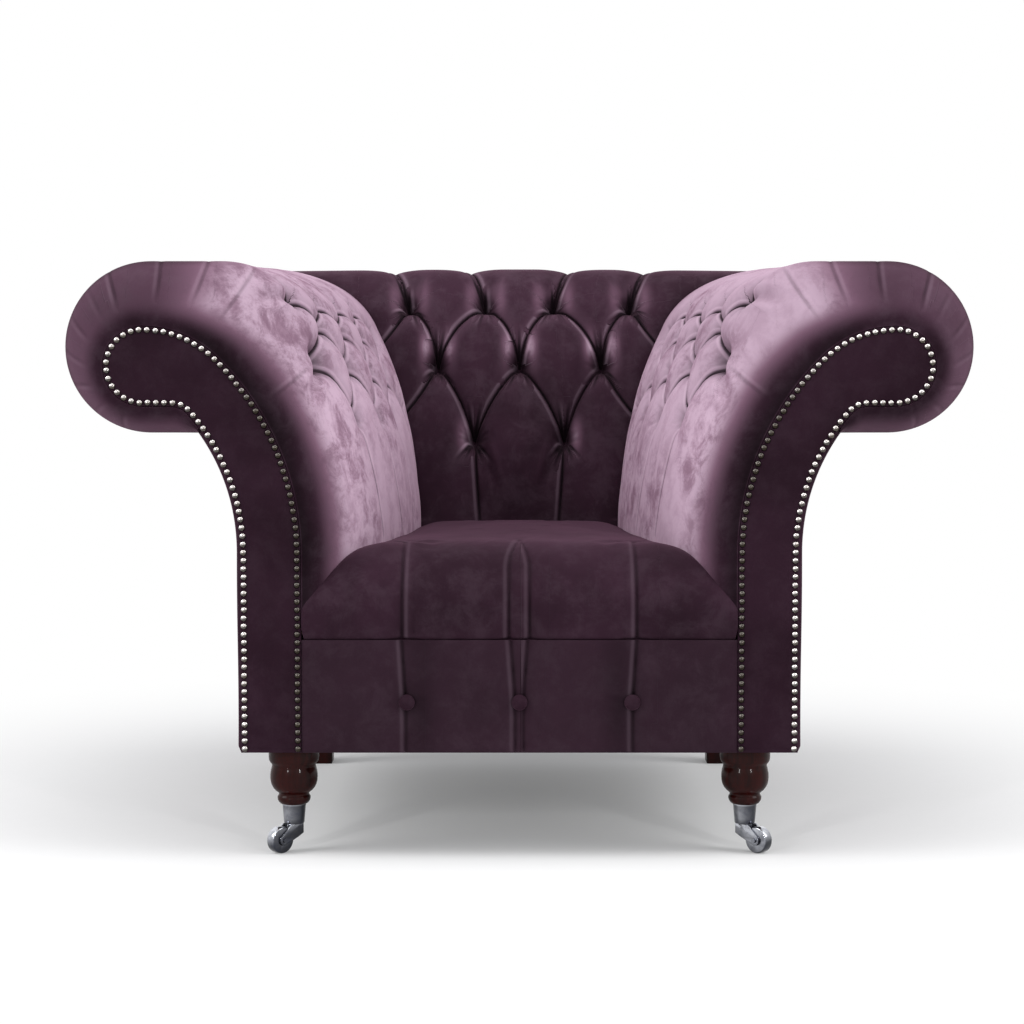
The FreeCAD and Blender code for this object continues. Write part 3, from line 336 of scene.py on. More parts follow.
def padded_tube(name, outer, hidden, values):
    """Closed mesh from an outer grid and the hidden grid behind it, ends filled. Values become vertex attributes."""
    ring = np.concatenate([outer, hidden], 0)
    nu, nv = ring.shape[:2]
    index = np.arange(nu * nv).reshape(nu, nv)
    after = np.roll(index, -1, axis=0)
    quads = np.stack([index[:, :-1], index[:, 1:], after[:, 1:], after[:, :-1]], -1).reshape(-1, 4)
    mesh = bpy.data.meshes.new(name)
    caps = [index[:, 0].tolist(), index[::-1, -1].tolist()]
    mesh.from_pydata(ring.reshape(-1, 3).tolist(), [], quads.tolist() + caps)
    for key, grid in values.items():
        spread = np.zeros((nu, nv), np.float32)
        spread[: grid.shape[0]] = grid
        mesh.attributes.new(key, "FLOAT", "POINT").data.foreach_set("value", spread.ravel())
    return finished(name, mesh)


def finished(name, mesh, angle=60):
    """Object of a closed mesh: normals outwards, shaded smooth below an angle."""
    work = bmesh.new()
    work.from_mesh(mesh)
    bmesh.ops.recalc_face_normals(work, faces=work.faces)
    big = [f for f in work.faces if len(f.verts) > 8]
    bmesh.ops.triangulate(work, faces=big)
    work.to_mesh(mesh)
    work.free()
    mesh.update()
    piece = bpy.data.objects.new(name, mesh)
    bpy.context.collection.objects.link(piece)
    shade_smooth(piece, angle)
    return piece


def only(*objects):
    """Selects these objects and nothing else."""
    if bpy.context.object and bpy.context.object.mode != "OBJECT":
        bpy.ops.object.mode_set(mode="OBJECT")
    bpy.ops.object.select_all(action="DESELECT")
    for item in objects:
        item.select_set(True)
    bpy.context.view_layer.objects.active = objects[0] if objects else None


def shade_smooth(piece, angle):
    only(piece)
    bpy.ops.object.shade_smooth_by_angle(angle=math.radians(angle))
    only()


def mirrored(piece, name):
    """Copy of a piece on the other side of the middle, with its own mesh."""
    mesh = piece.data.copy()
    work = bmesh.new()
    work.from_mesh(mesh)
    for v in work.verts:
        v.co.x = -v.co.x
    bmesh.ops.reverse_faces(work, faces=work.faces)
    work.to_mesh(mesh)
    work.free()
    other = bpy.data.objects.new(name, mesh)
    bpy.context.collection.objects.link(other)
    return other


def joined(name, pieces):
    """One object from several, at the origin."""
    only(*pieces)
    bpy.ops.object.join()
    piece = bpy.context.object
    piece.name = name
    bpy.ops.object.transform_apply(location=True, rotation=True, scale=True)
    only()
    return piece


def dress(piece, material, body="chair", stands_for=()):
    """Gives a finished piece its material, its body and the nodes it stands for."""
    piece.data.materials.clear()
    piece.data.materials.append(material)
    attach(piece, body)
    if stands_for:
        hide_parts(*stands_for)
    return piece


# Materials


class Val:
    """A shader value that takes Python's arithmetic."""

    def __init__(self, finish, socket):
        self.finish, self.socket = finish, socket

    def _math(self, operation, *values):
        return self.finish.node("ShaderNodeMath", {"operation": operation}, dict(enumerate(values)))[0]

    def __add__(self, other): return self._math("ADD", self, other)
    def __radd__(self, other): return self._math("ADD", other, self)
    def __sub__(self, other): return self._math("SUBTRACT", self, other)
    def __rsub__(self, other): return self._math("SUBTRACT", other, self)
    def __mul__(self, other): return self._math("MULTIPLY", self, other)
    def __rmul__(self, other): return self._math("MULTIPLY", other, self)
    def __truediv__(self, other): return self._math("DIVIDE", self, other)
    def __rtruediv__(self, other): return self._math("DIVIDE", other, self)
    def __pow__(self, other): return self._math("POWER", self, other)
    def __abs__(self): return self._math("ABSOLUTE", self)
    def sine(self): return self._math("SINE", self)
    def at_least(self, other): return self._math("MAXIMUM", self, other)
    def at_most(self, other): return self._math("MINIMUM", self, other)

    def ramp(self, low, high, out_low=0.0, out_high=1.0):
        """Smooth step of the value between two limits."""
        values = {0: self, 1: low, 2: high, 3: out_low, 4: out_high}
        return self.finish.node("ShaderNodeMapRange", {"interpolation_type": "SMOOTHSTEP"}, values)[0]


class Finish:
    """A node material under construction."""

    def __init__(self, name):
        self.material = bpy.data.materials.new(name)
        self.material.use_nodes = True
        self.tree = self.material.node_tree
        self.tree.nodes.clear()

    def node(self, kind, settings=None, inputs=None):
        """Adds a node, sets its settings and then its sockets, and returns its outputs as values."""
        made = self.tree.nodes.new(kind)
        for key, value in (settings or {}).items():
            if key == "stops":
                ramp = made.color_ramp
                while len(ramp.elements) < len(value):
                    ramp.elements.new(0.5)
                for element, (position, colour) in zip(ramp.elements, value):
                    element.position = position
                    element.color = (*colour, 1)
            else:
                setattr(made, key, value)
        for key, value in (inputs or {}).items():
            socket = made.inputs[key]
            if isinstance(value, Val):
                self.tree.links.new(value.socket, socket)
            elif isinstance(value, (tuple, list)) and socket.type == "RGBA" and len(value) == 3:
                socket.default_value = (*value, 1)
            else:
                socket.default_value = value
        return [Val(self, output) for output in made.outputs]

    def coords(self, scale=(1, 1, 1)):
        place = self.node("ShaderNodeTexCoord")[3]
        return self.node("ShaderNodeMapping", None, {"Vector": place, "Scale": scale})[0]

    def noise(self, scale, detail=3.0, rough=0.5, warp=0.0, stretch=(1, 1, 1)):
        values = {"Vector": self.coords(stretch), "Scale": scale, "Detail": detail, "Roughness": rough, "Distortion": warp}
        return self.node("ShaderNodeTexNoise", None, values)[0]

    def mix(self, share, a, b):
        return Val(self, self._mix(share, a, b))

    def _mix(self, share, a, b):
        outputs = self.node("ShaderNodeMix", {"data_type": "RGBA"}, {0: share, 6: a, 7: b})
        return outputs[2].socket

    def attribute(self, name):
        return self.node("ShaderNodeAttribute", {"attribute_name": name})[2]

    def bump(self, height, strength, distance, normal=None):
        values = {"Height": height, "Strength": strength, "Distance": distance}
        if normal is not None:
            values["Normal"] = normal
        return self.node("ShaderNodeBump", None, values)[0]

    def surface(self, **inputs):
        shader = self.node("ShaderNodeBsdfPrincipled", None, {k.replace("_", " "): v for k, v in inputs.items()})[0]
        self.node("ShaderNodeOutputMaterial", None, {"Surface": shader})
        return self.material


def linear(colour):
    """Scene colour from a display colour."""
    return tuple(c / 12.92 if c <= 0.04045 else ((c + 0.055) / 1.055) ** 2.4 for c in colour)


def velvet(name, dark, mid, light, shine, mottle=0.3, folded=False):
    """Cotton velvet: short pile with faint pale patches at random. Where folded, painted light from an attribute, a
    painted highlight beside each fold line, and painted shade on the fold lines and from a second attribute.
    """
    f = Finish(name)
    clouds = f.noise(6.5, 4.0, 0.55, 0.2)
    blotches = f.noise(24.0, 9.0, 0.74, 0.3).ramp(0.41, 0.67)
    tone = f.mix(clouds.ramp(0.3, 0.7), dark, mid)
    tone = f.mix(blotches * mottle * 0.06, tone, light)
    weave = f.noise(900.0, 2.0, 0.6)
    pile = f.noise(170.0, 3.0, 0.6, 0.3)
    height = weave * 0.2 + pile * 0.35 + clouds * 0.4
    if folded:
        # Painted light: paler and pinker where the attribute read here is high, broken up by random noise; it stands in
        # for the velvet's sheen.
        painted_light_breakup = f.noise(5.0, 3.0, 0.5).ramp(0.42, 0.62)
        amount = f.attribute("stroked")
        stroked = amount * (1.0 - blotches * (0.10 + painted_light_breakup * 0.26) - clouds.ramp(0.45, 0.75) * 0.08)
        blush = tuple(c * share for c, share in zip(light, (0.60, 0.455, 0.53)))
        pale = (amount.ramp(0.30, 0.75) * (1.0 - blotches * (0.2 + painted_light_breakup * 0.6))).at_least(0.0)
        tone = f.mix(stroked.at_most(1.0), tone, f.mix(pale, blush, light))
        # Painted highlight along one side of each fold line and painted shade on the line itself.
        line = (f.attribute("fold") - 0.5) * 80.0
        strength = f.attribute("crisp")
        crest = strength / (1.0 + ((line - 5.5) / 2.4) ** 4.0)
        gap = strength / (1.0 + (abs(line) / 2.2) ** 4.0)
        # Painted shade: darker in folds, button pits and along rims, by the attribute read here.
        pressed = f.attribute("pressed")
        tone = f.mix((gap * 0.9 + pressed * 0.8).at_most(0.95), tone, tuple(c * 0.14 for c in dark))
        tone = f.mix(crest * (0.08 + amount * 0.45), tone, light)
        height = height + crest * 1.6 - gap * 3.0
    normal = f.bump(height, 0.5, 0.0012)
    return f.surface(Base_Color=tone, Roughness=0.8, Normal=normal, Sheen_Weight=shine, Sheen_Roughness=0.4,
                     Sheen_Tint=(*linear((0.80, 0.58, 0.70)), 1), Specular_IOR_Level=0.05)


def polished_wood(name, red, dark):
    """Stained hardwood under a thick gloss finish."""
    f = Finish(name)
    grain = f.noise(50.0, 5.0, 0.6, 0.8, (1, 1, 0.10))
    lines = f.noise(420.0, 2.0, 0.6, 0.4, (1, 1, 0.06))
    tone = f.mix(grain.ramp(0.25, 0.75), dark, red)
    tone = f.mix(lines.ramp(0.5, 0.7) * 0.25, tone, dark)
    normal = f.bump(lines * 0.4 + grain, 0.06, 0.0003)
    return f.surface(Base_Color=tone, Roughness=0.3 + grain * 0.1, Normal=normal, Coat_Weight=0.15, Coat_Roughness=0.06,
                     Specular_IOR_Level=0.05)


def metal(name, colour, dark, rough, worn, aged=False):
    """Plated or burnished metal with dull patches and painted shade where it looks down and towards +X; with its flag
    set, also darker where a darkening attribute says.
    """
    f = Finish(name)
    wear = f.noise(70.0, 4.0, 0.6, 0.4)
    fine = f.noise(600.0, 2.0, 0.5)
    x, y, z = f.node("ShaderNodeSeparateXYZ", None, {0: f.node("ShaderNodeNewGeometry")[1]})
    # Painted shade: darker where the normal looks down and towards +X.
    upward = (z * 0.8 - x * 0.25).ramp(-0.30, 0.65)
    tone = f.mix((1.0 - upward) * 0.92, colour, tuple(c * 0.10 for c in dark))
    tone = f.mix(wear.ramp(0.35, 0.75) * worn, tone, dark)
    if aged:
        # Darker by the per-vertex share set on the copies.
        tone = f.mix(f.attribute("aged") * 0.88, tone, tuple(c * 0.16 for c in dark))
    return f.surface(Base_Color=tone, Metallic=1.0, Roughness=rough + wear * 0.14, Normal=f.bump(fine + wear, 0.1, 0.0003))


def timber(name, pale, brown):
    """Sawn frame timber."""
    f = Finish(name)
    grain = f.noise(35.0, 5.0, 0.6, 1.2, (1, 0.12, 1))
    rings = f.noise(9.0, 3.0, 0.5, 2.0, (1, 0.2, 1))
    tone = f.mix(grain.ramp(0.3, 0.7), pale, brown)
    return f.surface(Base_Color=f.mix(rings * 0.4, tone, brown), Roughness=0.7 + grain * 0.15, Normal=f.bump(grain, 0.3, 0.0008))


def woven(name, colour, shade, pitch):
    """Coarse cloth or webbing with crossing threads."""
    f = Finish(name)
    x, y, z = f.node("ShaderNodeSeparateXYZ", None, {0: f.coords()})
    turns = 2 * math.pi / pitch
    threads = (x * turns).sine() * ((y + z) * turns).sine()
    fuzz = f.noise(240.0, 3.0, 0.6)
    tone = f.mix(threads.ramp(-0.7, 0.7) * 0.6 + fuzz * 0.3, shade, colour)
    return f.surface(Base_Color=tone, Roughness=0.9, Normal=f.bump(threads + fuzz * 0.5, 0.5, 0.0006))


# Properties


class ChairSizes(bpy.types.PropertyGroup):
    grid: FloatProperty(name="Grid", description="Spacing of the padding's mesh", default=2.7 * MM, min=0.001, unit="LENGTH")
    button_radius: FloatProperty(name="Button radius", description="Radius of the covered buttons", default=10.5 * MM, unit="LENGTH")
    pit: FloatProperty(name="Pit depth", description="How far a button sinks below the folds", default=11 * MM, unit="LENGTH")
    fold: FloatProperty(name="Fold depth", description="Depth of a fold halfway between two buttons", default=8.5 * MM, unit="LENGTH")
    nail_pitch: FloatProperty(name="Nail pitch", description="Distance between nail heads", default=10.7 * MM, unit="LENGTH")
    nail_radius: FloatProperty(name="Nail radius", description="Radius of a nail head", default=4.2 * MM, unit="LENGTH")


class ChairColours(bpy.types.PropertyGroup):
    dark: FloatVectorProperty(name="Velvet shade", description="Velvet where the pile swallows light", subtype="COLOR",
                              default=linear((0.124, 0.064, 0.099)), size=3, min=0, max=1)
    mid: FloatVectorProperty(name="Velvet body", description="Velvet seen straight on", subtype="COLOR",
                             default=linear((0.184, 0.107, 0.154)), size=3, min=0, max=1)
    # This colour is the pale tone of random patches and also the colour of the painted light and painted fold
    # highlights on the velvet.
    light: FloatVectorProperty(name="Velvet highlight_and_patches", description="Velvet stroked towards the light", subtype="COLOR",
                               default=linear((0.800, 0.690, 0.765)), size=3, min=0, max=1)
    wood: FloatVectorProperty(name="Leg red", description="Stain of the legs", subtype="COLOR",
                              default=linear((0.178, 0.026, 0.018)), size=3, min=0, max=1)
    wood_dark: FloatVectorProperty(name="Leg dark", description="Dark grain of the legs", subtype="COLOR",
                                   default=linear((0.064, 0.012, 0.010)), size=3, min=0, max=1)


def sizes():
    return bpy.context.scene.chair_sizes


def colours():
    return bpy.context.scene.chair_colours


_finishes = {}


def finish(key):
    """Material by its slot name, made once."""
    if key not in _finishes:
        c = colours()
        dark, mid, light = tuple(c.dark), tuple(c.mid), tuple(c.light)
        steel, bronze = linear((0.93, 0.91, 0.90)), linear((0.42, 0.37, 0.30))
        makers = {
            "velvet": lambda: velvet("velvet_padding", dark, mid, light, 0.16, 0.5, True),
            "seat_velvet": lambda: velvet("velvet_seat", dark, mid, light, 0.12, 0.35, True),
            # The facing and the border get darker copies of the same velvet as painted shade.
            "facing_velvet": lambda: velvet("velvet_facing", dark, tuple(m * 0.8 for m in mid), light, 0.08, 0.15),
            "border_velvet": lambda: velvet("velvet_border", tuple(d * 0.8 for d in dark), tuple(m * 0.62 for m in mid), light, 0.04, 0.25, True),
            "outside_velvet": lambda: velvet("velvet_outside", dark, mid, light, 0.2, 0.3),
            "button_velvet": lambda: velvet("velvet_button", dark, mid, light, 0.16, 0.2),
            "nail_steel": lambda: metal("nail_head", steel, bronze, 0.2, 0.35, True),
            "leg_wood": lambda: polished_wood("leg_polish", tuple(c.wood), tuple(c.wood_dark)),
            "castor_metal": lambda: metal("castor_chrome", linear((0.86, 0.87, 0.90)), linear((0.20, 0.21, 0.27)), 0.05, 0.6),
            "bolt_steel": lambda: metal("bolt_zinc", linear((0.62, 0.62, 0.64)), linear((0.35, 0.35, 0.36)), 0.35, 0.5),
            "frame_wood": lambda: timber("frame_beech", linear((0.78, 0.62, 0.44)), linear((0.52, 0.36, 0.22))),
            "webbing": lambda: woven("elastic_webbing", linear((0.16, 0.14, 0.13)), linear((0.42, 0.36, 0.28)), 0.004),
            "hessian": lambda: woven("jute_hessian", linear((0.62, 0.50, 0.34)), linear((0.34, 0.26, 0.16)), 0.003),
            "dust_cloth": lambda: woven("dust_cloth", linear((0.07, 0.07, 0.075)), linear((0.03, 0.03, 0.032)), 0.002),
        }
        _finishes[key] = makers[key]()
    return _finishes[key]


# Buttons


def dome(name, radius, height, rings, segments):
    """Rounded cap on its flat face, looking along +Z, modelled from a disc."""
    only()
    bpy.ops.mesh.primitive_circle_add(vertices=segments, radius=radius, fill_type="NGON")
    cap = bpy.context.object
    cap.name = name
    bpy.ops.object.mode_set(mode="EDIT")
    bpy.ops.mesh.select_all(action="SELECT")
    for k in range(1, rings + 1):
        turn = math.pi / 2 * k / (rings + 0.35)
        before = math.pi / 2 * (k - 1) / (rings + 0.35)
        rise = height * (math.sin(turn) - math.sin(before))
        bpy.ops.mesh.extrude_region_move(TRANSFORM_OT_translate={"value": (0, 0, rise)})
        shrink = math.cos(turn) / math.cos(before)
        bpy.ops.transform.resize(value=(shrink, shrink, 1))
    bpy.ops.object.mode_set(mode="OBJECT")
    work = bmesh.new()
    work.from_mesh(cap.data)
    bmesh.ops.holes_fill(work, edges=[e for e in work.edges if e.is_boundary])
    bmesh.ops.recalc_face_normals(work, faces=work.faces)
    work.to_mesh(cap.data)
    work.free()
    return cap


def copies_at(pattern, name, spots, aged=None):
    """One mesh with the pattern copied to each (point, normal, turn) spot. Each copy may have a share of darkening for
    its material.
    """
    co = np.array([v.co[:] for v in pattern.data.vertices])
    faces = [list(p.vertices) for p in pattern.data.polygons]
    points, polygons = [], []
    for point, normal, turn in spots:
        up = Vector(normal).normalized()
        side = up.orthogonal().normalized()
        side.rotate(Quaternion(up, turn))
        other = up.cross(side)
        basis = np.array([side[:], other[:], up[:]])
        start = sum(len(block) for block in points)
        points.append(co @ basis + np.array(point))
        polygons += [[v + start for v in face] for face in faces]
    mesh = bpy.data.meshes.new(name)
    mesh.from_pydata(np.concatenate(points).tolist(), [], polygons)
    if aged is not None:
        ages = np.repeat(np.asarray(aged, np.float32), len(co))
        mesh.attributes.new("aged", "FLOAT", "POINT").data.foreach_set("value", ages)
    bpy.data.objects.remove(pattern)
    return finished(name, mesh, 50)


def covered_buttons(name, spots, slot_nodes):
    pattern = dome("button_form", sizes().button_radius, sizes().button_radius * 0.62, 6, 28)
    buttons = copies_at(pattern, name, [(p, n, 0.7 * i) for i, (p, n) in enumerate(spots)])
    return dress(buttons, finish("button_velvet"), stands_for=slot_nodes)


def nearest_vertex(points, target):
    """Row and column of the grid point nearest to a target."""
    flat = np.argmin(np.sum((points - target) ** 2, axis=2))
    return np.unravel_index(flat, points.shape[:2])


# Pads


def arm_layout(form):
    """Buttons and folds of an arm as (place, depth) paths."""
    pitch = 135.0
    heights = ((735.0, 735.0), (702.0, 698.0), (655.0, 632.0), (577.0, 577.0))
    starts = (108.0, 175.0, 108.0, 175.0)
    rows = []
    for (front, rear), first in zip(heights, starts):
        spots = [(first + pitch * k, front + (rear - front) * k / 3) for k in range(4)]
        rows.append([(form.place_on_side(depth, z), depth) for depth, z in spots])
    folds = []
    for upper, lower in zip(rows, rows[1:]):
        for a in upper:
            for b in lower:
                if abs(a[1] - b[1]) < pitch * 0.75:
                    folds.append((a, b))
    return rows, folds, pitch


class BuildArms(bpy.types.Operator):
    """Inside arm padding with its rolls, buttons and folds"""

    bl_idname = "chair.arms"
    bl_label = "Arms"

    def execute(self, context):
        step = sizes().grid / MM
        form = ArmForm(step)
        back = BackForm(step)
        run = form.run
        turns = np.radians(np.linspace(0, 90, 44, endpoint=False))
        front = 68 * (1 - np.cos(turns))
        fx, fz = form.full[:, 0], form.full[:, 1]
        inner = run > form.marks[2]
        reach = back.depth_at_height(np.minimum(fz + 12, 802)) + 8
        mitre = MITRE_DEPTH + fx - ROLL_X
        end = np.where(inner, np.maximum(reach, np.minimum(mitre, 770)), mitre)
        end = np.maximum(end, np.where(run < form.marks[1], COVER_DEPTH - 4, 0))
        end = np.convolve(np.pad(end, 6, "edge"), np.ones(13) / 13, "valid")
        count = round((760 - 68) / step)
        share = np.linspace(0, 1, count + 1)
        depths = np.concatenate([np.broadcast_to(front, (len(run), len(front))),
                                 68 + (end[:, None] - 68) * share[None, :]], 1)
        x = np.empty_like(depths)
        z = np.empty_like(depths)
        for j in range(depths.shape[1]):
            x[:, j], z[:, j] = form.section(depths[:, j])
        points = to_world(x, depths, z)
        normals = surface_normals(points)
        cover = Upholstery(points, normals)

        def on_form(place, depth):
            px, pz = form.section(np.atleast_1d(depth), np.atleast_1d(place))
            return to_world(px, np.atleast_1d(depth), pz) / MM

        def path(a, b, count=10, bow=0.0):
            t = np.linspace(0, 1, count)
            swell = np.sin(np.pi * t) * bow
            return on_form(a[0] + (b[0] - a[0]) * t, a[1] + (b[1] - a[1]) * t + swell)

        rows, folds, pitch = arm_layout(form)
        fold = sizes().fold / MM
        for i, (a, b) in enumerate(folds):
            cover.fold(path(a, b, bow=9.0 if b[1] > a[1] else -9.0), (22, fold + 3, 22), 56)
        top, under = form.marks[2], form.marks[1]
        for k in range(5):
            depth = rows[0][0][1] + pitch * k
            if k < 4:
                cover.fold(path(rows[0][k], (top - 20, depth), 8), (15, fold, fold), 56)
            cover.fold(path((top - 20, depth), (under - 25, depth + 4), 26), (fold, fold * 0.8, fold * 0.6), 58)
        seat_place = float(form.place_at_height(412))
        for place, depth in rows[-1]:
            cover.fold(path((place, depth), (seat_place, depth + 14), 10, -5), (16, fold * 0.8, 3), 46)
        for (place, depth), out in ((rows[0][0], -38), (rows[2][0], 55)):
            cover.gather(path((place, depth), (place + out, 22), 8), 6.0, 17)
        crown, face = form.marks[3], form.marks[4]
        band = ((0.10, 34, 0.9), (0.22, 42, 0.7), (0.36, 36, 1.0), (0.50, 46, 0.8), (0.63, 40, 1.0), (0.75, 36, 0.7), (0.84, 66, 2.0))
        for share_at, far, deep in band:
            place = under + (top - under) * share_at
            lean = 7 * math.sin(9 * share_at)
            cover.fold(path((place + lean, 4), (place, far), 10), (deep, deep, 0.3), 10, 2.2)
        for place, far, deep in ((top + 12, 74, 2.4), (top + 74, 80, 2.2), (crown + 44, 72, 2.0), (face + 24, 66, 1.8)):
            cover.fold(path((place + 12, 5), (place, far), 10), (deep * 0.6, deep, 0.4), 13, 1.7)
        lines = np.random.default_rng(7)
        for r, row in enumerate(rows):
            for k, (place, depth) in enumerate(row):
                deep = 22 if (r, k) == (2, 0) else 4 if (r, k) == (0, 0) else sizes().pit / MM
                cover.pit(on_form(place, depth)[0], deep, 20 if deep == 22 else 13.5)
                for turn in (-160, -135, -112, -60, -20, 20, 60, 112, 135, 160):
                    turn = math.radians(turn + lines.uniform(-9, 9))
                    length = lines.uniform(20, 42)
                    start = (place + 9 * math.cos(turn), depth + 9 * math.sin(turn))
                    stop = (place + length * math.cos(turn), depth + length * math.sin(turn))
                    cover.gather(path(start, stop, 5), lines.uniform(0.8, 1.9), 5.0)
        for k in range(70):
            place, depth = lines.uniform(face - 40, seat_place), lines.uniform(120, 600)
            length = lines.uniform(25, 70)
            cover.gather(path((place, depth), (place + length, depth + lines.uniform(-10, 10)), 5), lines.uniform(0.25, 0.7), 9)
        hold = smooth(depths / 14)
        gap = end[:, None] - depths
        sink = 9 * (1 - np.sqrt(np.clip(1 - (1 - np.clip(gap / 34, 0, 1)) ** 2, 0, 1)))
        depth_in = cover.depth() * hold + sink * (run[:, None] > under)
        ends = smooth((run - 6) / 30)[:, None] * smooth((run[-1] - run - 6) / 30)[:, None]
        shaped = points - normals * (depth_in * ends * MM)[..., None]
        signed, crisp = cover.crease()
        turned = np.clip(1 + normals[..., 1], 0, 1)
        rim_x, rim_z = form.section(0.0)
        across = np.hypot(x - rim_x[:, None], z - rim_z[:, None])
        place = run[:, None]
        # Painted light for the velvet: paler on the inner face and crown, weaker on the roll's top, none right beside
        # the nail line, partly fading towards the rear.
        top_share = smooth((place - under - 120) / 150)
        side_share = smooth((place - crown + 80) / 135)
        amount = 0.19 - 0.07 * top_share * (1 - side_share) + 0.54 * side_share + 0.12 * smooth((place - face) / 100)
        start = 3 + 15 * side_share * smooth((place - crown) / 200)
        fading = 1 - 0.5 * smooth((depths - 560) / 220) * (1 - smooth((place - face) / 60))
        stroked = amount * fading * smooth((across - start) / (26 + 26 * side_share))
        # Painted shade: a dark band beside the nail line, a dark edge where the roll turns away from the front, and
        # darker folds and pits.
        rim_shade = 0.92 * np.exp(-((across / 18) ** 2)) * (0.34 + 0.66 * side_share)
        far_shade = smooth((turned - 0.42) / 0.42) * (1 - side_share) * smooth((across - 20) / 30) * smooth((95 - depths) / 45)
        pressed = np.clip(np.clip(cover.depth() / 24, 0, 1) ** 1.5 + rim_shade + far_shade, 0, 1)
        values = {"fold": signed, "crisp": crisp * hold, "stroked": np.clip(stroked, 0, 1), "pressed": pressed}
        hem = facing_outline(-0.4, PAD_FOOT, 9.0)
        keep = (hem[:, 1] > PAD_FOOT - 1)
        past_eye = np.arange(len(hem)) > np.argmax(hem[:, 0])
        stop = np.argmax(past_eye & (hem[:, 1] < TUCK[1] + 6))
        hem = hem[:stop][keep[:stop]]
        hidden_end = np.clip(MITRE_DEPTH + hem[:, 0] - ROLL_X, 640, 850)
        hidden_depths = hidden_end[:, None] * np.concatenate([front / 68 * 0.09, 0.09 + 0.91 * share])[None, :]
        hidden = to_world(hem[:, :1], hidden_depths, hem[:, 1:])
        left = padded_tube("arm_padding_left", shaped, hidden, values)
        right = mirrored(left, "arm_padding_right")
        spots = []
        for row in rows:
            for place, depth in row:
                target = on_form(place, depth)[0] * MM
                i, j = nearest_vertex(points, target)
                spots.append((shaped[i, j] - normals[i, j] * 0.002, normals[i, j]))
        for side, piece, sign in (("left", left, 1), ("right", right, -1)):
            dress(piece, finish("velvet"), stands_for=("arm_pad_" + side,))
            flipped = [(p * np.array([sign, 1, 1]), n * np.array([sign, 1, 1])) for p, n in spots]
            covered_buttons("arm_covered_buttons_" + side, flipped, ("arm_buttons_" + side,))
        return {"FINISHED"}


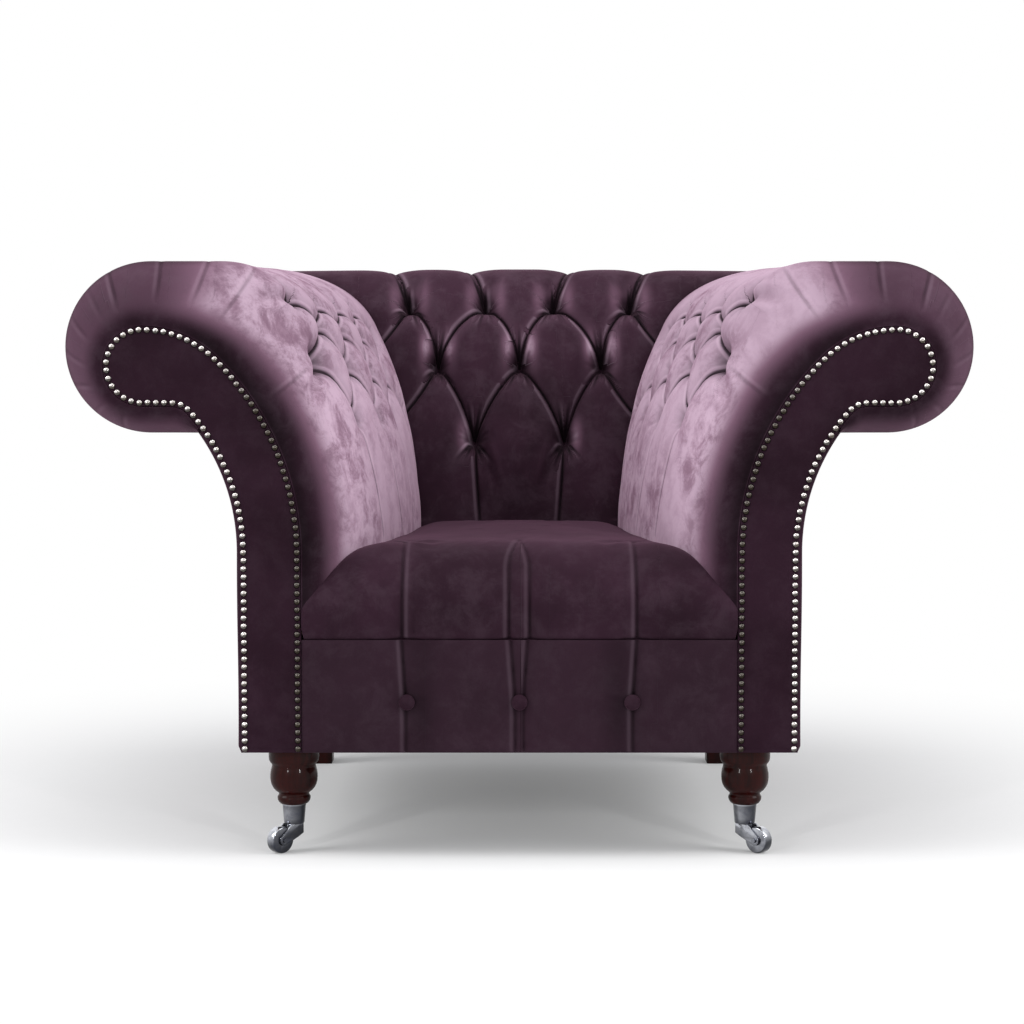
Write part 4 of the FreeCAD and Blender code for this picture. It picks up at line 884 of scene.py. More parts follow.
class BuildBack(bpy.types.Operator):
    """Inside back padding with its crest, buttons and folds"""

    bl_idname = "chair.back_padding"
    bl_label = "Back"

    def execute(self, context):
        step = sizes().grid / MM
        back = BackForm(step)
        arm = ArmForm(step * 2)
        depth, height = back.points[:, 0], back.points[:, 1]
        mitre = ROLL_X + depth - MITRE_DEPTH
        beside = np.array([arm.inner_x(d, z) for d, z in zip(depth, height)]) + 7
        order = np.arange(len(depth))
        half = np.where(order < back.crest, np.minimum(beside, np.maximum(mitre, 200)), mitre)
        half = np.where((order < back.crest) & (height < 700), beside, half)
        half = np.convolve(np.pad(half, 5, "edge"), np.ones(11) / 11, "valid")
        count = 2 * round(470 / step)
        t = np.linspace(-1, 1, count + 1)
        x = half[:, None] * t[None, :]
        swell = 2.5 * np.cos(np.pi * x / 700) * smooth((height[:, None] - 560) / 200)
        points = to_world(x, depth[:, None], height[:, None] + swell)
        normals = surface_normals(points, -1.0)
        if normals[len(depth) // 5, count // 2, 1] > 0:
            normals = -normals
        cover = Upholstery(points, normals)

        def on_form(px, place):
            d, z = back.at(np.atleast_1d(place))
            px = np.atleast_1d(px)
            return to_world(px, d, z + 2.5 * np.cos(np.pi * px / 700) * smooth((z - 560) / 200)) / MM

        def path(a, b, count=10, bow=0.0):
            t = np.linspace(0, 1, count)
            px = a[0] + (b[0] - a[0]) * t
            place = a[1] + (b[1] - a[1]) * t
            run_x, run_s = b[0] - a[0], b[1] - a[1]
            size = max(math.hypot(run_x, run_s), 1e-6)
            swell = np.sin(np.pi * t) * bow
            return on_form(px + swell * run_s / size, place - swell * run_x / size)

        rows = []
        for z, places in ((744.0, (-176.0, -54.0, 54.0, 176.0)), (648.0, (-130.0, 0.0, 130.0)), (530.0, (-71.0, 71.0))):
            rows.append([(px, float(back.place_at_height(z + 6))) for px in places])
        fold = sizes().fold / MM
        for r, (upper, lower) in enumerate(zip(rows, rows[1:])):
            for a in upper:
                for b in lower:
                    if abs(a[0] - b[0]) < 100:
                        out = 1 if b[0] > a[0] else -1
                        bow = -11 * out if r == 0 else -7 * out
                        cover.fold(path(a, b, 12, bow), (30, fold + 5, 30), 62)
        crest = back.run[back.crest]
        for px, place in rows[0]:
            out = np.sign(px)
            wide = 212 * out if abs(px) > 100 else 88 * out
            cover.fold(path((px, place), (wide - 6 * out, crest + 10), 10), (29, fold + 4, fold + 1), 52)
            cover.fold(path((px + 3 * out, place + 4), (wide + 9 * out, crest + 10), 10), (14, fold * 0.5, fold * 0.7), 22)
            cover.fold(path((wide - 6 * out, crest + 10), (wide * 1.10, crest + 300), 16), (fold + 1, fold * 0.7, fold * 0.4), 60)
            for lean, far in ((-34, 60), (24, 66)):
                cover.gather(path((px + lean * 0.15, place + 8), (px + lean, place + far), 6), 4.2, 11)
        low = float(back.place_at_height(412))
        for px, place in rows[-1]:
            cover.fold(path((px, place), (px * 0.87, low - 6), 10), (27, fold + 1, fold * 0.7), 46)
            cover.gather(path((px * 0.82, place - 12), (px * 0.55, low + 40), 8), 6.0, 15)
            cover.gather(path((px * 0.93, place - 12), (px * 0.74, low + 30), 8), 3.0, 9)
        for (px, place), (out, drop), near in ((rows[0][0], (52, 86), 0), (rows[0][-1], (52, 86), 1),
                                               (rows[1][0], (56, 92), 0), (rows[1][-1], (56, 92), 1)):
            sign = np.sign(px)
            cover.fold(path((px, place), (px + sign * out, place - drop), 10, 5 * sign), (28, fold + 4, fold * 0.8), 54)
        lines = np.random.default_rng(11)
        for r, row in enumerate(rows):
            for px, place in row:
                cover.pit(on_form(px, place)[0], sizes().pit / MM + 1, 15)
                fans = ([0, 180], [-12, 0, 12, 180], [-14, 8, 180])[r]
                for turn in fans:
                    tilt = math.radians(turn + lines.uniform(-4, 4))
                    reach = (58 if r else 34) if abs(turn) < 90 else 26
                    start = (px + 9 * math.sin(tilt), place + 9 * math.cos(tilt))
                    stop = (px + reach * math.sin(tilt), place + reach * math.cos(tilt))
                    cover.fold(path(start, stop, 8), (9, 4, 0.5) if abs(turn) < 90 else (7, 2.5, 0.5), 11, 1.5)
                for turn in (150, 164, 196, 210, 135, 225) if r == 0 else (160, 200, 145, 215):
                    tilt = math.radians(turn + lines.uniform(-4, 4))
                    reach = lines.uniform(30, 50)
                    start = (px + 13 * math.sin(tilt), place + 13 * math.cos(tilt))
                    stop = (px + reach * math.sin(tilt), place + reach * math.cos(tilt))
                    cover.fold(path(start, stop, 6), (9, 3.2, 0.5), 10, 1.5)
                for turn in (-62, -42, 42, 62, -90, 90):
                    tilt = math.radians(turn + lines.uniform(-5, 5))
                    reach = lines.uniform(20, 34)
                    start = (px + 10 * math.sin(tilt), place + 10 * math.cos(tilt))
                    stop = (px + reach * math.sin(tilt), place + reach * math.cos(tilt))
                    cover.gather(path(start, stop, 5), 1.4, 5)
        gap = (1 - np.abs(t))[None, :] * half[:, None]
        sink = 8 * (1 - np.sqrt(np.clip(1 - (1 - np.clip(gap / 32, 0, 1)) ** 2, 0, 1))) * (order > 40)[:, None]
        ends = smooth((back.run - 8) / 40)[:, None] * smooth((back.run[-1] - back.run - 6) / 30)[:, None]
        shaped = points - normals * ((cover.depth() + sink) * ends * MM)[..., None]
        signed, crisp = cover.crease()
        # Painted highlights along the sides of the folds on the upper back and in small spots beside each button.
        level = cover.depth()
        edge = np.clip((level - 4) / 9, 0, 1) * np.clip((22 - level) / 12, 0, 1)
        stroked = 0.16 * edge * smooth((height[:, None] - 560) / 150) + 0.02
        flat = points / MM
        for r, row in enumerate(rows):
            for px, place in row:
                middle = on_form(px, place)[0]
                offsets = {0: ((-24, 10), (24, 10)), 1: ((-19, 26), (19, 26)), 2: ((17 * np.sign(px), 6),)}[r]
                for sideways, above in offsets:
                    away = ((flat[..., 0] - middle[0] - sideways) / 9) ** 2 + ((flat[..., 2] - middle[2] - above) / 22) ** 2
                    stroked = stroked + (0.52 if r else 0.24) * np.exp(-away) * (order < back.crest)[:, None]
        # Painted shade, darker where the cover sinks deeper into folds and pits.
        pressed = np.clip(level / 34, 0, 1) ** 1.3
        values = {"fold": signed, "crisp": crisp, "stroked": np.clip(stroked, 0, 1), "pressed": pressed}
        inner_path = np.array([(COVER_DEPTH, 606), (812, 606), (849, 621), (864, 658), (849, 695), (812, 710), (760, 710),
                               (728, 697), (715.4, 665), (715.4, 300)], float)
        widths = np.array([462, 485, 510, 520, 510, 485, 433, 401, 284, 284], float)
        hidden = to_world(widths[:, None] * t[None, :], inner_path[:, :1], inner_path[:, 1:])
        piece = padded_tube("back_padding", shaped, hidden, values)
        dress(piece, finish("velvet"), stands_for=("back_pad",))
        spots = []
        for row in rows:
            for px, place in row:
                i, j = nearest_vertex(points, on_form(px, place)[0] * MM)
                spots.append((shaped[i, j] - normals[i, j] * 0.002, normals[i, j]))
        covered_buttons("back_covered_buttons", spots, ("back_buttons",))
        return {"FINISHED"}


SEAT_PLEATS = (-147.0, 0.0, 147.0)


class BuildSeat(bpy.types.Operator):
    """Sprung seat with its rounded lip and pleats"""

    bl_idname = "chair.seat"
    bl_label = "Seat"

    def execute(self, context):
        step = sizes().grid / MM
        arm = ArmForm(step * 2)
        lip = 78.0
        turn = np.radians(np.linspace(0, 90, 44, endpoint=False))
        top = 408.0
        profile = np.concatenate([
            line_points((606, top - 4), (480, top), 40),
            line_points((480, top), (lip - 3, top), 150),
            np.stack([lip - 3 - lip * np.sin(turn), top - lip * (1 - np.cos(turn))], 1),
            line_points((-3, top - lip), (-0.6, SEAM_Z + 0.8), 16),
            np.array([(1.5, SEAM_Z + 0.1)]),
        ])
        depth, height = profile[:, 0], profile[:, 1]
        beside = np.array([arm.inner_x(max(d, 0.0), z) for d, z in zip(depth, height)])
        beside = np.minimum(beside + 5, POST_INNER - 0.3)
        beside = np.convolve(np.pad(beside, 5, "edge"), np.ones(11) / 11, "valid")
        count = 2 * round(284 / step)
        t = np.linspace(-1, 1, count + 1)
        x = beside[:, None] * t[None, :]
        crown = smooth((height[:, None] - 330) / 70) * smooth((depth[:, None] + 20) / 120)
        rise = 7 * np.cos(np.pi / 2 * t[None, :]) ** 0.8 * crown * np.clip(np.cos(np.pi * (depth[:, None] - 300) / 900), 0, 1)
        edge = np.clip((1 - np.abs(t[None, :])) * beside[:, None] / 42, 0, 1)
        drop = 15 * (1 - np.sqrt(np.clip(1 - (1 - edge) ** 2, 0, 1))) * smooth((height[:, None] - 300) / 60)
        points = to_world(x, depth[:, None] + drop * 0.3, height[:, None] + rise - drop)
        normals = surface_normals(points)
        if normals[60, count // 2, 2] < 0:
            normals = -normals
        cover = Upholstery(points, normals)
        run = np.concatenate([[0], np.cumsum(np.linalg.norm(np.diff(profile, axis=0), axis=1))])

        def on_form(px, place):
            d, z = np.interp(place, run, depth), np.interp(place, run, height)
            lift = 7 * np.cos(np.pi / 2 * px / 230) ** 0.8 * smooth((z - 330) / 70) * smooth((d + 20) / 120)
            return to_world(px, d, z + lift) / MM

        def path(a, b, count=14):
            s = np.linspace(0, 1, count)
            return on_form(np.clip(a[0] + (b[0] - a[0]) * s, -229, 229), a[1] + (b[1] - a[1]) * s)

        def parting(sign, first, last):
            share = np.linspace(0, 1, 40)
            return on_form(sign * (1.0 + 12.5 * smooth(share * 2.2)), first + (last - first) * share)

        start = run[np.argmin(np.abs(depth - 88))]
        for px in SEAT_PLEATS:
            out = np.sign(px)
            if out:
                tuck = path((px + 5 * out, start), (px + 6 * out, run[-1]), 40)
                if out > 0:
                    cover.fold(tuck, (3, 6, 6), 30)
                else:
                    cover.fold(tuck[::-1], (6, 6, 3), 30)
                cover.fold(path((px - 9 * out, start + 6), (px - 10 * out, run[-1]), 40), (1, 3, 3), 12, 0)
                cover.gather(path((px - 10 * out, start - 4), (px - 46 * out, start + 30), 6), 2.0, 16)
                cover.fold(path((px + 5 * out, start + 2), (px + 36 * out, start - 44), 10), (4, 2.5, 0.3), 16, 1.3)
                cover.gather(path((px - 20 * out, start + 20), (px - 24 * out, run[-1] + 60), 16), 3.0, 24)
            else:
                for sign in (-1, 1):
                    cover.fold(parting(sign, start, run[-1]), (3, 5, 5), 26)
        for sign in (-1, 1):
            for k, far in enumerate((44, 58, 70)):
                cover.fold(path((sign * (46 + 9 * k), run[4]), (sign * (far + 2), run[24]), 8), (6 - k, 2.5, 0.3), 13, 1.6)
            cover.gather(path((sign * 214, run[150]), (sign * 196, run[120]), 6), 2.0, 8)
        lines = np.random.default_rng(5)
        for k in range(46):
            px, place = lines.uniform(-220, 220), lines.uniform(run[30], run[-1] - 60)
            cover.gather(path((px, place), (px + lines.uniform(-30, 30), place + lines.uniform(20, 60)), 5), lines.uniform(0.2, 0.6), 12)
        seam = 0.8 * np.exp(-(((run[-1] - run) / 4.0) ** 2))[:, None]
        shaped = points - normals * ((cover.depth() + seam) * MM)[..., None]
        signed, crisp = cover.crease()
        # Painted light on the parts that face up; painted shade in the folds and towards the seam under the lip.
        up = np.clip(normals[..., 2], 0, 1)
        stroked = 0.035 * up * smooth((depth[:, None] - 10) / 60) + 0.01
        pressed = np.clip(cover.depth() / 22, 0, 1) ** 1.5 + 0.22 * smooth((SEAM_Z + 60 - height[:, None]) / 70)
        values = {"fold": signed, "crisp": crisp * 0.8, "stroked": stroked * np.ones_like(x), "pressed": np.clip(pressed, 0, 1)}
        inner_path = np.array([(9, SEAM_Z + 0.5), (9, 249), (605, 249), (606, 300)], float)
        widths = np.array([282, 282, 170, 170], float)
        hidden = to_world(widths[:, None] * t[None, :], inner_path[:, :1], inner_path[:, 1:])
        piece = padded_tube("seat_padding", shaped, hidden, values)
        dress(piece, finish("seat_velvet"), stands_for=("seat_pad",))
        return {"FINISHED"}


class BuildBorder(bpy.types.Operator):
    """Buttoned border under the seat's lip"""

    bl_idname = "chair.border"
    bl_label = "Front border"

    def execute(self, context):
        step = sizes().grid / MM
        z = np.linspace(SEAM_Z - 0.1, UNDERSIDE, round(148 / step) + 1)
        x = np.linspace(-POST_INNER + 0.4, POST_INNER - 0.4, round(566 / step) + 1)
        edge = np.minimum(np.clip((SEAM_Z - z + 0.6) / 2.5, 0, 1), np.clip((z - UNDERSIDE) / 5, 0, 1))[:, None]
        sides = np.clip((POST_INNER - np.abs(x)) / 6, 0, 1)[None, :]
        puff = 3.0 * np.sqrt(1 - (1 - edge) ** 2) * np.sqrt(1 - (1 - sides) ** 2)
        points = to_world(x[None, :], 2.0 - puff, z[:, None])
        normals = np.zeros_like(points)
        normals[..., 1] = -1.0
        cover = Upholstery(points, normals)
        start, stop = SEAM_Z, UNDERSIDE
        button_z = 206.0

        def path(a, b, count=12):
            s = np.linspace(0, 1, count)
            return to_world(a[0] + (b[0] - a[0]) * s, -1.0 + 0 * s, a[1] + (b[1] - a[1]) * s) / MM

        for px in SEAT_PLEATS:
            out = np.sign(px)
            if out:
                cover.fold(path((px + 6 * out, start), (px + 1 * out, button_z)), (5, 5, 6), 26)
                cover.fold(path((px + 1 * out, button_z), (px + 1 * out, stop)), (6, 4, 4), 24)
                cover.gather(path((px - 16 * out, button_z + 10), (px - 20 * out, stop), 8), 3.0, 26)
            else:
                for sign in (-1, 1):
                    cover.fold(path((11 * sign, start), (5 * sign, button_z)), (4, 5, 5), 22)
                    cover.fold(path((5 * sign, button_z), (5.5 * sign, stop)), (5, 3.5, 3.5), 20)
            cover.pit(to_world(px, -1.0, button_z) / MM, 2.5, 15)
        lines = np.random.default_rng(3)
        for k in range(40):
            px, pz = lines.uniform(-270, 270), lines.uniform(stop + 20, start - 10)
            cover.gather(path((px, pz), (px + lines.uniform(-25, 25), pz - lines.uniform(15, 50)), 5), lines.uniform(0.2, 0.5), 10)
        shaped = points - normals * (np.minimum(cover.depth(), 7.5) * edge * MM)[..., None]
        signed, crisp = cover.crease()
        # Painted shade in the folds and in bands beside the side pleats, with a faint even painted light.
        level = np.clip(cover.depth() / 14, 0, 1) ** 1.4
        shade = 0.35 * np.exp(-(((np.abs(x) - 128) / 22) ** 2))[None, :] * np.ones_like(level)
        values = {"fold": signed, "crisp": crisp * 0.8, "stroked": 0.03 * np.ones_like(level),
                  "pressed": np.clip(level + shade, 0, 1)}
        hidden = to_world(x[None, :], np.array([[7.6], [7.6]]), np.array([[UNDERSIDE], [SEAM_Z - 0.4]]))
        piece = padded_tube("front_border_cover", shaped, hidden, values)
        dress(piece, finish("border_velvet"), stands_for=("front_border",))
        spots = [(to_world(px, 1.6, button_z), np.array([0, -1.0, 0])) for px in SEAT_PLEATS]
        covered_buttons("border_covered_buttons", spots, ("border_buttons",))
        return {"FINISHED"}


class BuildFacings(bpy.types.Operator):
    """Velvet facing panels on the arm fronts"""

    bl_idname = "chair.facings"
    bl_label = "Arm facings"

    def execute(self, context):
        steps = ((0.1, FACING_BACK), (0.1, 1.6), (0.5, 0.5), (1.5, -0.2), (3.0, 0.3), (5.0, 1.4), (7.0, 0.5), (10.0, -0.5),
                 (14.0, -1.2), (19.0, -1.5))
        rings = [facing_outline(inset, UNDERSIDE + inset, 5.0) for inset, _ in steps]
        size = len(rings[0])
        points = [to_world(ring[:, 0], depth, ring[:, 1]) for ring, (_, depth) in zip(rings, steps)]
        faces = [[k * size + i, k * size + (i + 1) % size, (k + 1) * size + (i + 1) % size, (k + 1) * size + i]
                 for k in range(len(steps) - 1) for i in range(size)]
        last = (len(steps) - 1) * size
        mesh = bpy.data.meshes.new("arm_facing_cover_left")
        mesh.from_pydata(np.concatenate(points).tolist(), [], faces + [list(range(size)), list(range(last, last + size))])
        left = finished("arm_facing_cover_left", mesh, 50)
        right = mirrored(left, "arm_facing_cover_right")
        for side, piece in (("left", left), ("right", right)):
            dress(piece, finish("facing_velvet"), stands_for=("arm_facing_" + side,))
        return {"FINISHED"}


FACING_BACK = 6.0


class BuildNails(bpy.types.Operator):
    """Rows of domed nail heads round the facings"""

    bl_idname = "chair.nails"
    bl_label = "Nails"

    def execute(self, context):
        s = sizes()
        line = facing_outline(5.0, UNDERSIDE + 5, 1.0)
        run = np.concatenate([[0], np.cumsum(np.linalg.norm(np.diff(line, axis=0), axis=1))])
        count = round(run[-1] / (s.nail_pitch / MM)) + 1
        places = np.linspace(0, run[-1], count)
        shift = np.random.default_rng(2)
        for side, sign in (("left", 1), ("right", -1)):
            pattern = dome("nail_form", s.nail_radius, s.nail_radius * 0.72, 3, 12)
            spots = []
            for k, place in enumerate(places):
                x = np.interp(place, run, line[:, 0]) + shift.uniform(-0.25, 0.25)
                z = np.interp(place, run, line[:, 1]) + shift.uniform(-0.25, 0.25)
                point = to_world(sign * x, 0.4, z)
                normal = (shift.uniform(-0.06, 0.06), -1.0, shift.uniform(-0.06, 0.06))
                spots.append((point, normal, 0.5 * k))
            # Nails on the inner run, up to about a third of the way round, are darker.
            aged = 1 - smooth((places / run[-1] - 0.34) / 0.10)
            nails = copies_at(pattern, "facing_nail_heads_" + side, spots, aged)
            dress(nails, finish("nail_steel"), stands_for=("facing_nails_" + side,))
        return {"FINISHED"}


class BuildOutside(bpy.types.Operator):
    """Covers on the outer sides of the arms and on the back"""

    bl_idname = "chair.outside"
    bl_label = "Outside covers"

    def execute(self, context):
        outline = facing_outline(0.0, UNDERSIDE, 7.0)
        top = ROLL_Z - ROLL_RADIUS
        side = outline[len(outline) // 2:]
        side = side[(side[:, 1] < top + 6)]
        side = side[side[:, 0] < 440]
        side = side[::-1]
        direction = np.gradient(side, axis=0)
        out = np.stack([direction[:, 1], -direction[:, 0]], 1)
        out /= np.linalg.norm(out, axis=1, keepdims=True)
        depths = np.concatenate([[6.2, 7.5, 10, 14, 20], np.linspace(30, 760, 60), [772, 779, 784, 786.6]])
        rounded = np.sqrt(np.clip(1 - (1 - np.clip(np.minimum(depths - 6.2, 786.6 - depths) / 9, 0, 1)) ** 2, 0, 1))
        foot = np.sqrt(np.clip(1 - (1 - np.clip((side[:, 1] - UNDERSIDE) / 6, 0, 1)) ** 2, 0, 1))
        thick = 0.6 + 4.6 * rounded[None, :] * foot[:, None]
        wave = 0.5 * np.sin(depths[None, :] / 61 + side[:, 1:] / 47)
        x = side[:, :1] + out[:, :1] * (thick + wave * rounded[None, :] * foot[:, None])
        z = side[:, 1:] + out[:, 1:] * thick
        outer = to_world(x, depths[None, :], z)
        hidden = to_world(side[::-1, :1] + 0.05 * out[::-1, :1], depths[None, :], side[::-1, 1:])
        left = padded_tube("outside_arm_cover_left", outer, hidden, {})
        right = mirrored(left, "outside_arm_cover_right")
        for name, piece in (("left", left), ("right", right)):
            dress(piece, finish("outside_velvet"), stands_for=("outside_arm_" + name,))
        widths = side[:, 0] + 4.8
        span = np.linspace(-1, 1, 90)
        inset = np.clip((1 - np.abs(span)) * 400 / 9, 0, 1)
        round_x = np.sqrt(1 - (1 - inset) ** 2)
        thick = 0.6 + 4.2 * round_x[None, :] * foot[:, None]
        outer = to_world(widths[:, None] * span[None, :], COVER_DEPTH + thick, side[:, 1:])
        hidden = to_world(widths[::-1, None] * span[None, :], COVER_DEPTH + 0.1, side[::-1, 1:])
        back = padded_tube("outside_back_cover", outer, hidden, {})
        dress(back, finish("outside_velvet"), stands_for=("outside_back",))
        return {"FINISHED"}


LEG_X, LEG_DEPTH = 300.0, 59.0
LEG_PROFILE = (
    (22.0, 141.9), (31.5, 141.5), (33.0, 138.0), (33.4, 132.0), (33.4, 126.0), (32.8, 121.5), (31.2, 118.6), (29.6, 117.0),
    (28.9, 114.6), (29.4, 112.8), (30.4, 109.5), (31.3, 104.0), (31.5, 99.0), (31.1, 94.0), (29.9, 89.2), (27.8, 85.0),
    (25.0, 81.6), (22.0, 79.2), (20.4, 77.6), (20.0, 76.2), (20.6, 74.8), (21.9, 73.2), (22.0, 70.6), (21.4, 68.0),
    (19.9, 65.6), (18.4, 64.0), (17.0, 63.2),
)


def turned(name, profile, x, depth, segments=56):
    """Solid of revolution about an upright line, modelled from a disc by extruding and resizing ring after ring."""
    only()
    radius, z = profile[0]
    place = to_world(x, depth, z)
    bpy.ops.mesh.primitive_circle_add(vertices=segments, radius=radius * MM, fill_type="NGON", location=place)
    piece = bpy.context.object
    piece.name = name
    bpy.ops.object.mode_set(mode="EDIT")
    bpy.ops.mesh.select_all(action="SELECT")
    for (r0, z0), (r1, z1) in zip(profile, profile[1:]):
        bpy.ops.mesh.extrude_region_move(TRANSFORM_OT_translate={"value": (0, 0, (z1 - z0) * MM)})
        bpy.ops.transform.resize(value=(r1 / r0, r1 / r0, 1))
    bpy.ops.object.mode_set(mode="OBJECT")
    bpy.ops.object.transform_apply(location=True, rotation=True, scale=True)
    work = bmesh.new()
    work.from_mesh(piece.data)
    bmesh.ops.holes_fill(work, edges=[e for e in work.edges if e.is_boundary])
    bmesh.ops.recalc_face_normals(work, faces=work.faces)
    work.to_mesh(piece.data)
    work.free()
    shade_smooth(piece, 40)
    return piece


class BuildLegs(bpy.types.Operator):
    """Turned front legs and square rear legs"""

    bl_idname = "chair.legs"
    bl_label = "Legs"

    def execute(self, context):
        left = turned("front_leg_left", LEG_PROFILE, LEG_X, LEG_DEPTH)
        right = mirrored(left, "front_leg_right")
        pair = joined("front_leg_pair", [left, right])
        dress(pair, finish("leg_wood"), stands_for=("front_legs",))
        for side in ("left", "right"):
            piece = softened("rear_leg_" + side, "rear_leg_cut_" + side, 1.6 * MM)
            dress(piece, finish("leg_wood"), stands_for=("rear_leg_" + side,))
        return {"FINISHED"}


def softened(node, name, width):
    """Copy of a node's mesh, merged, with its edges rounded."""
    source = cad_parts[node]
    piece = bpy.data.objects.new(name, source.data.copy())
    bpy.context.collection.objects.link(piece)
    only(piece)
    bpy.ops.object.mode_set(mode="EDIT")
    bpy.ops.mesh.select_all(action="SELECT")
    bpy.ops.mesh.remove_doubles(threshold=1e-5)
    bpy.ops.mesh.dissolve_limited(angle_limit=math.radians(2))
    bpy.ops.object.mode_set(mode="OBJECT")
    bevel = piece.modifiers.new("edge", "BEVEL")
    bevel.width = width
    bevel.segments = 3
    bevel.limit_method = "ANGLE"
    bevel.angle_limit = math.radians(30)
    bpy.ops.object.modifier_apply(modifier=bevel.name)
    shade_smooth(piece, 35)
    return piece


class BuildCastors(bpy.types.Operator):
    """Castor cups, horns and wheels"""

    bl_idname = "chair.castors"
    bl_label = "Castors"

    def execute(self, context):
        cup_profile = ((12.2, 37.4), (13.2, 37.2), (13.6, 38.0), (14.1, 44.0), (14.9, 53.0), (15.5, 60.5), (15.9, 62.0), (15.7, 63.0),
                       (14.5, 63.1))
        left = turned("castor_cup_left", cup_profile, LEG_X, LEG_DEPTH, 48)
        right = mirrored(left, "castor_cup_right")
        pair = joined("castor_cup_pair", [left, right])
        dress(pair, finish("castor_metal"), stands_for=("castor_cups",))
        for side in ("left", "right"):
            horn = softened("castor_horn_" + side, "castor_fork_" + side, 0.9 * MM)
            dress(horn, finish("castor_metal"), "swivel_" + side, ("castor_horn_" + side,))
            wheel = softened("castor_wheel_" + side, "castor_tread_" + side, 1.8 * MM)
            dress(wheel, finish("castor_metal"), "wheel_" + side, ("castor_wheel_" + side,))
        return {"FINISHED"}


class FinishFrame(bpy.types.Operator):
    """Materials of the hidden frame, webbing and sheets"""

    bl_idname = "chair.hidden_frame"
    bl_label = "Hidden frame"

    def execute(self, context):
        known = {"castor_axle": "castor_metal", "castor_pins": "bolt_steel", "leg_bolts": "bolt_steel", "seat_webbing": "webbing",
                 "back_webbing": "webbing", "seat_hessian": "hessian", "dust_cover": "dust_cloth"}
        for name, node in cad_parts.items():
            if node.hide_render:
                continue
            slot = next((s for start, s in known.items() if name.startswith(start)), "frame_wood")
            node.data.materials.clear()
            node.data.materials.append(finish(slot))
        return {"FINISHED"}


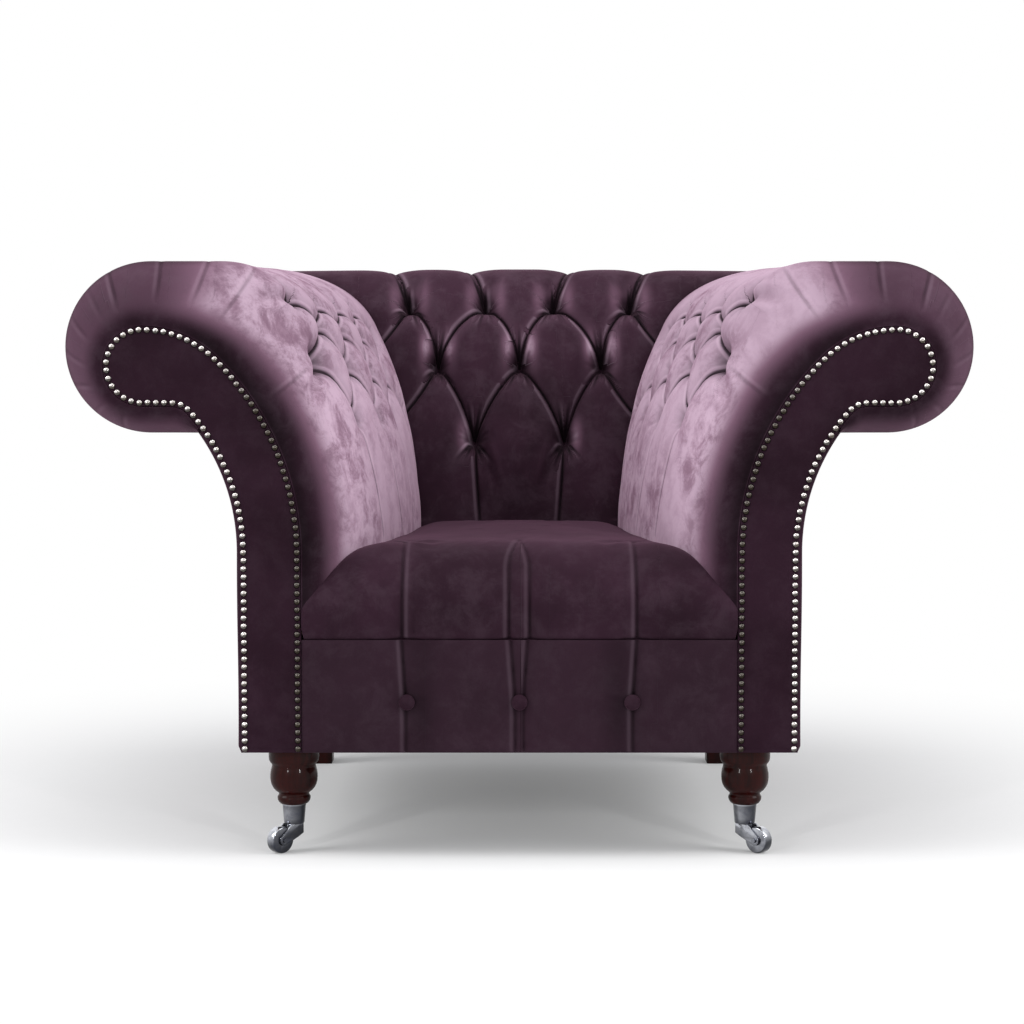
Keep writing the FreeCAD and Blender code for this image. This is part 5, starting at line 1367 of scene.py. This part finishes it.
class BuildStage(bpy.types.Operator):
    """Floor, light and camera"""

    bl_idname = "chair.stage"
    bl_label = "Stage"

    def execute(self, context):
        scene = context.scene
        only()
        bpy.ops.mesh.primitive_plane_add(size=30, location=(0, 0, FLOOR_Z))
        floor = bpy.context.object
        floor.name = "floor"
        floor.data.materials.append(self.floor_finish())
        self.world(scene)
        for name, place, target, size, power in (
            ("top_light", (0.0, -0.3, 3.2), (0, 0, 0.3), (3.2, 2.4), 50),
            ("left_light", (-2.6, -0.9, 2.1), (0.25, 0.0, 0.5), (1.6, 2.2), 54),
            ("right_light", (2.6, -0.9, 2.1), (-0.25, 0.0, 0.5), (1.6, 2.2), 54),
            ("front_light", (0.0, -4.2, 2.0), (0, 0, 0.4), (3.0, 1.8), 4),
            ("left_strip", (-1.7, -3.3, 1.2), (0, FRONT_Y, 0.25), (0.08, 0.5), 20),
            ("right_strip", (1.7, -3.3, 1.2), (0, FRONT_Y, 0.25), (0.08, 0.5), 20),
        ):
            lamp = bpy.data.lights.new(name, "AREA")
            lamp.shape = "RECTANGLE"
            lamp.size, lamp.size_y = size
            lamp.energy = power
            item = bpy.data.objects.new(name, lamp)
            item.location = place
            item.rotation_euler = (Vector(target) - Vector(place)).to_track_quat("-Z", "Y").to_euler()
            scene.collection.objects.link(item)
        lens = bpy.data.cameras.new("camera")
        lens.sensor_width = 36
        lens.lens = 79.9
        lens.shift_x = -0.0073
        lens.clip_start, lens.clip_end = 0.05, 60
        camera = bpy.data.objects.new("camera", lens)
        camera.location = (0, FRONT_Y - 2.94, 0.6255)
        camera.rotation_euler = (math.radians(90 - 3.324), 0, 0)
        scene.collection.objects.link(camera)
        scene.camera = camera
        scene.view_settings.view_transform = "Standard"
        return {"FINISHED"}

    def floor_finish(self):
        f = Finish("floor_paper")
        place = f.node("ShaderNodeTexCoord")[3]
        distance = f.node("ShaderNodeVectorMath", {"operation": "LENGTH"}, {0: place})[1]
        rays = f.node("ShaderNodeLightPath")
        seen = (rays[0] + rays[3] + rays[6]).at_most(1.0)
        grain = f.noise(40.0)
        paper = f.node("ShaderNodeBsdfDiffuse", None, {"Color": f.mix(grain, (0.84, 0.84, 0.84), (0.86, 0.86, 0.86))})[0]
        glow = f.node("ShaderNodeEmission", None, {"Color": (1.0, 1.0, 1.0), "Strength": 1.0})[0]
        away = (0.17 + distance.ramp(0.6, 1.5) * 0.83) * seen
        mixed = f.node("ShaderNodeMixShader", None, {0: away, 1: paper, 2: glow})[0]
        f.node("ShaderNodeOutputMaterial", None, {"Surface": mixed})
        return f.material

    def world(self, scene):
        world = bpy.data.worlds.new("studio")
        world.use_nodes = True
        tree = world.node_tree
        tree.nodes.clear()
        rays = tree.nodes.new("ShaderNodeLightPath")
        first = tree.nodes.new("ShaderNodeMath")
        first.operation = "MAXIMUM"
        second = tree.nodes.new("ShaderNodeMath")
        second.operation = "MAXIMUM"
        tree.links.new(rays.outputs["Is Camera Ray"], first.inputs[0])
        tree.links.new(rays.outputs["Is Glossy Ray"], first.inputs[1])
        tree.links.new(first.outputs[0], second.inputs[0])
        tree.links.new(rays.outputs["Is Transmission Ray"], second.inputs[1])
        room = tree.nodes.new("ShaderNodeBackground")
        room.inputs["Color"].default_value = (0.95, 0.96, 1.0, 1)
        room.inputs["Strength"].default_value = 0.42
        wall = tree.nodes.new("ShaderNodeBackground")
        wall.inputs["Color"].default_value = (1, 1, 1, 1)
        wall.inputs["Strength"].default_value = 1.0
        mixed = tree.nodes.new("ShaderNodeMixShader")
        tree.links.new(second.outputs[0], mixed.inputs[0])
        tree.links.new(room.outputs[0], mixed.inputs[1])
        tree.links.new(wall.outputs[0], mixed.inputs[2])
        out = tree.nodes.new("ShaderNodeOutputWorld")
        tree.links.new(mixed.outputs[0], out.inputs["Surface"])
        scene.world = world


class ChairPanel(bpy.types.Panel):
    """Lists the steps that build the chair"""

    bl_idname = "VIEW3D_PT_chair"
    bl_label = "Armchair"
    bl_space_type = "VIEW_3D"
    bl_region_type = "UI"
    bl_category = "Armchair"

    def draw(self, context):
        for group in (context.scene.chair_sizes, context.scene.chair_colours):
            for key in group.bl_rna.properties.keys():
                if key not in ("rna_type", "name"):
                    self.layout.prop(group, key)
        for step in STEPS:
            self.layout.operator(step.bl_idname)


STEPS = (BuildArms, BuildBack, BuildSeat, BuildBorder, BuildFacings, BuildNails, BuildOutside, BuildLegs, BuildCastors,
         FinishFrame, BuildStage)
CLASSES = (ChairSizes, ChairColours, *STEPS, ChairPanel)


def register():
    for item in CLASSES:
        bpy.utils.register_class(item)
    bpy.types.Scene.chair_sizes = PointerProperty(type=ChairSizes)
    bpy.types.Scene.chair_colours = PointerProperty(type=ChairColours)


def unregister():
    del bpy.types.Scene.chair_colours
    del bpy.types.Scene.chair_sizes
    for item in reversed(CLASSES):
        bpy.utils.unregister_class(item)


def main():
    register()
    for step in STEPS:
        group, action = step.bl_idname.split(".")
        getattr(getattr(bpy.ops, group), action)()


if __name__ == "__main__":
    main()
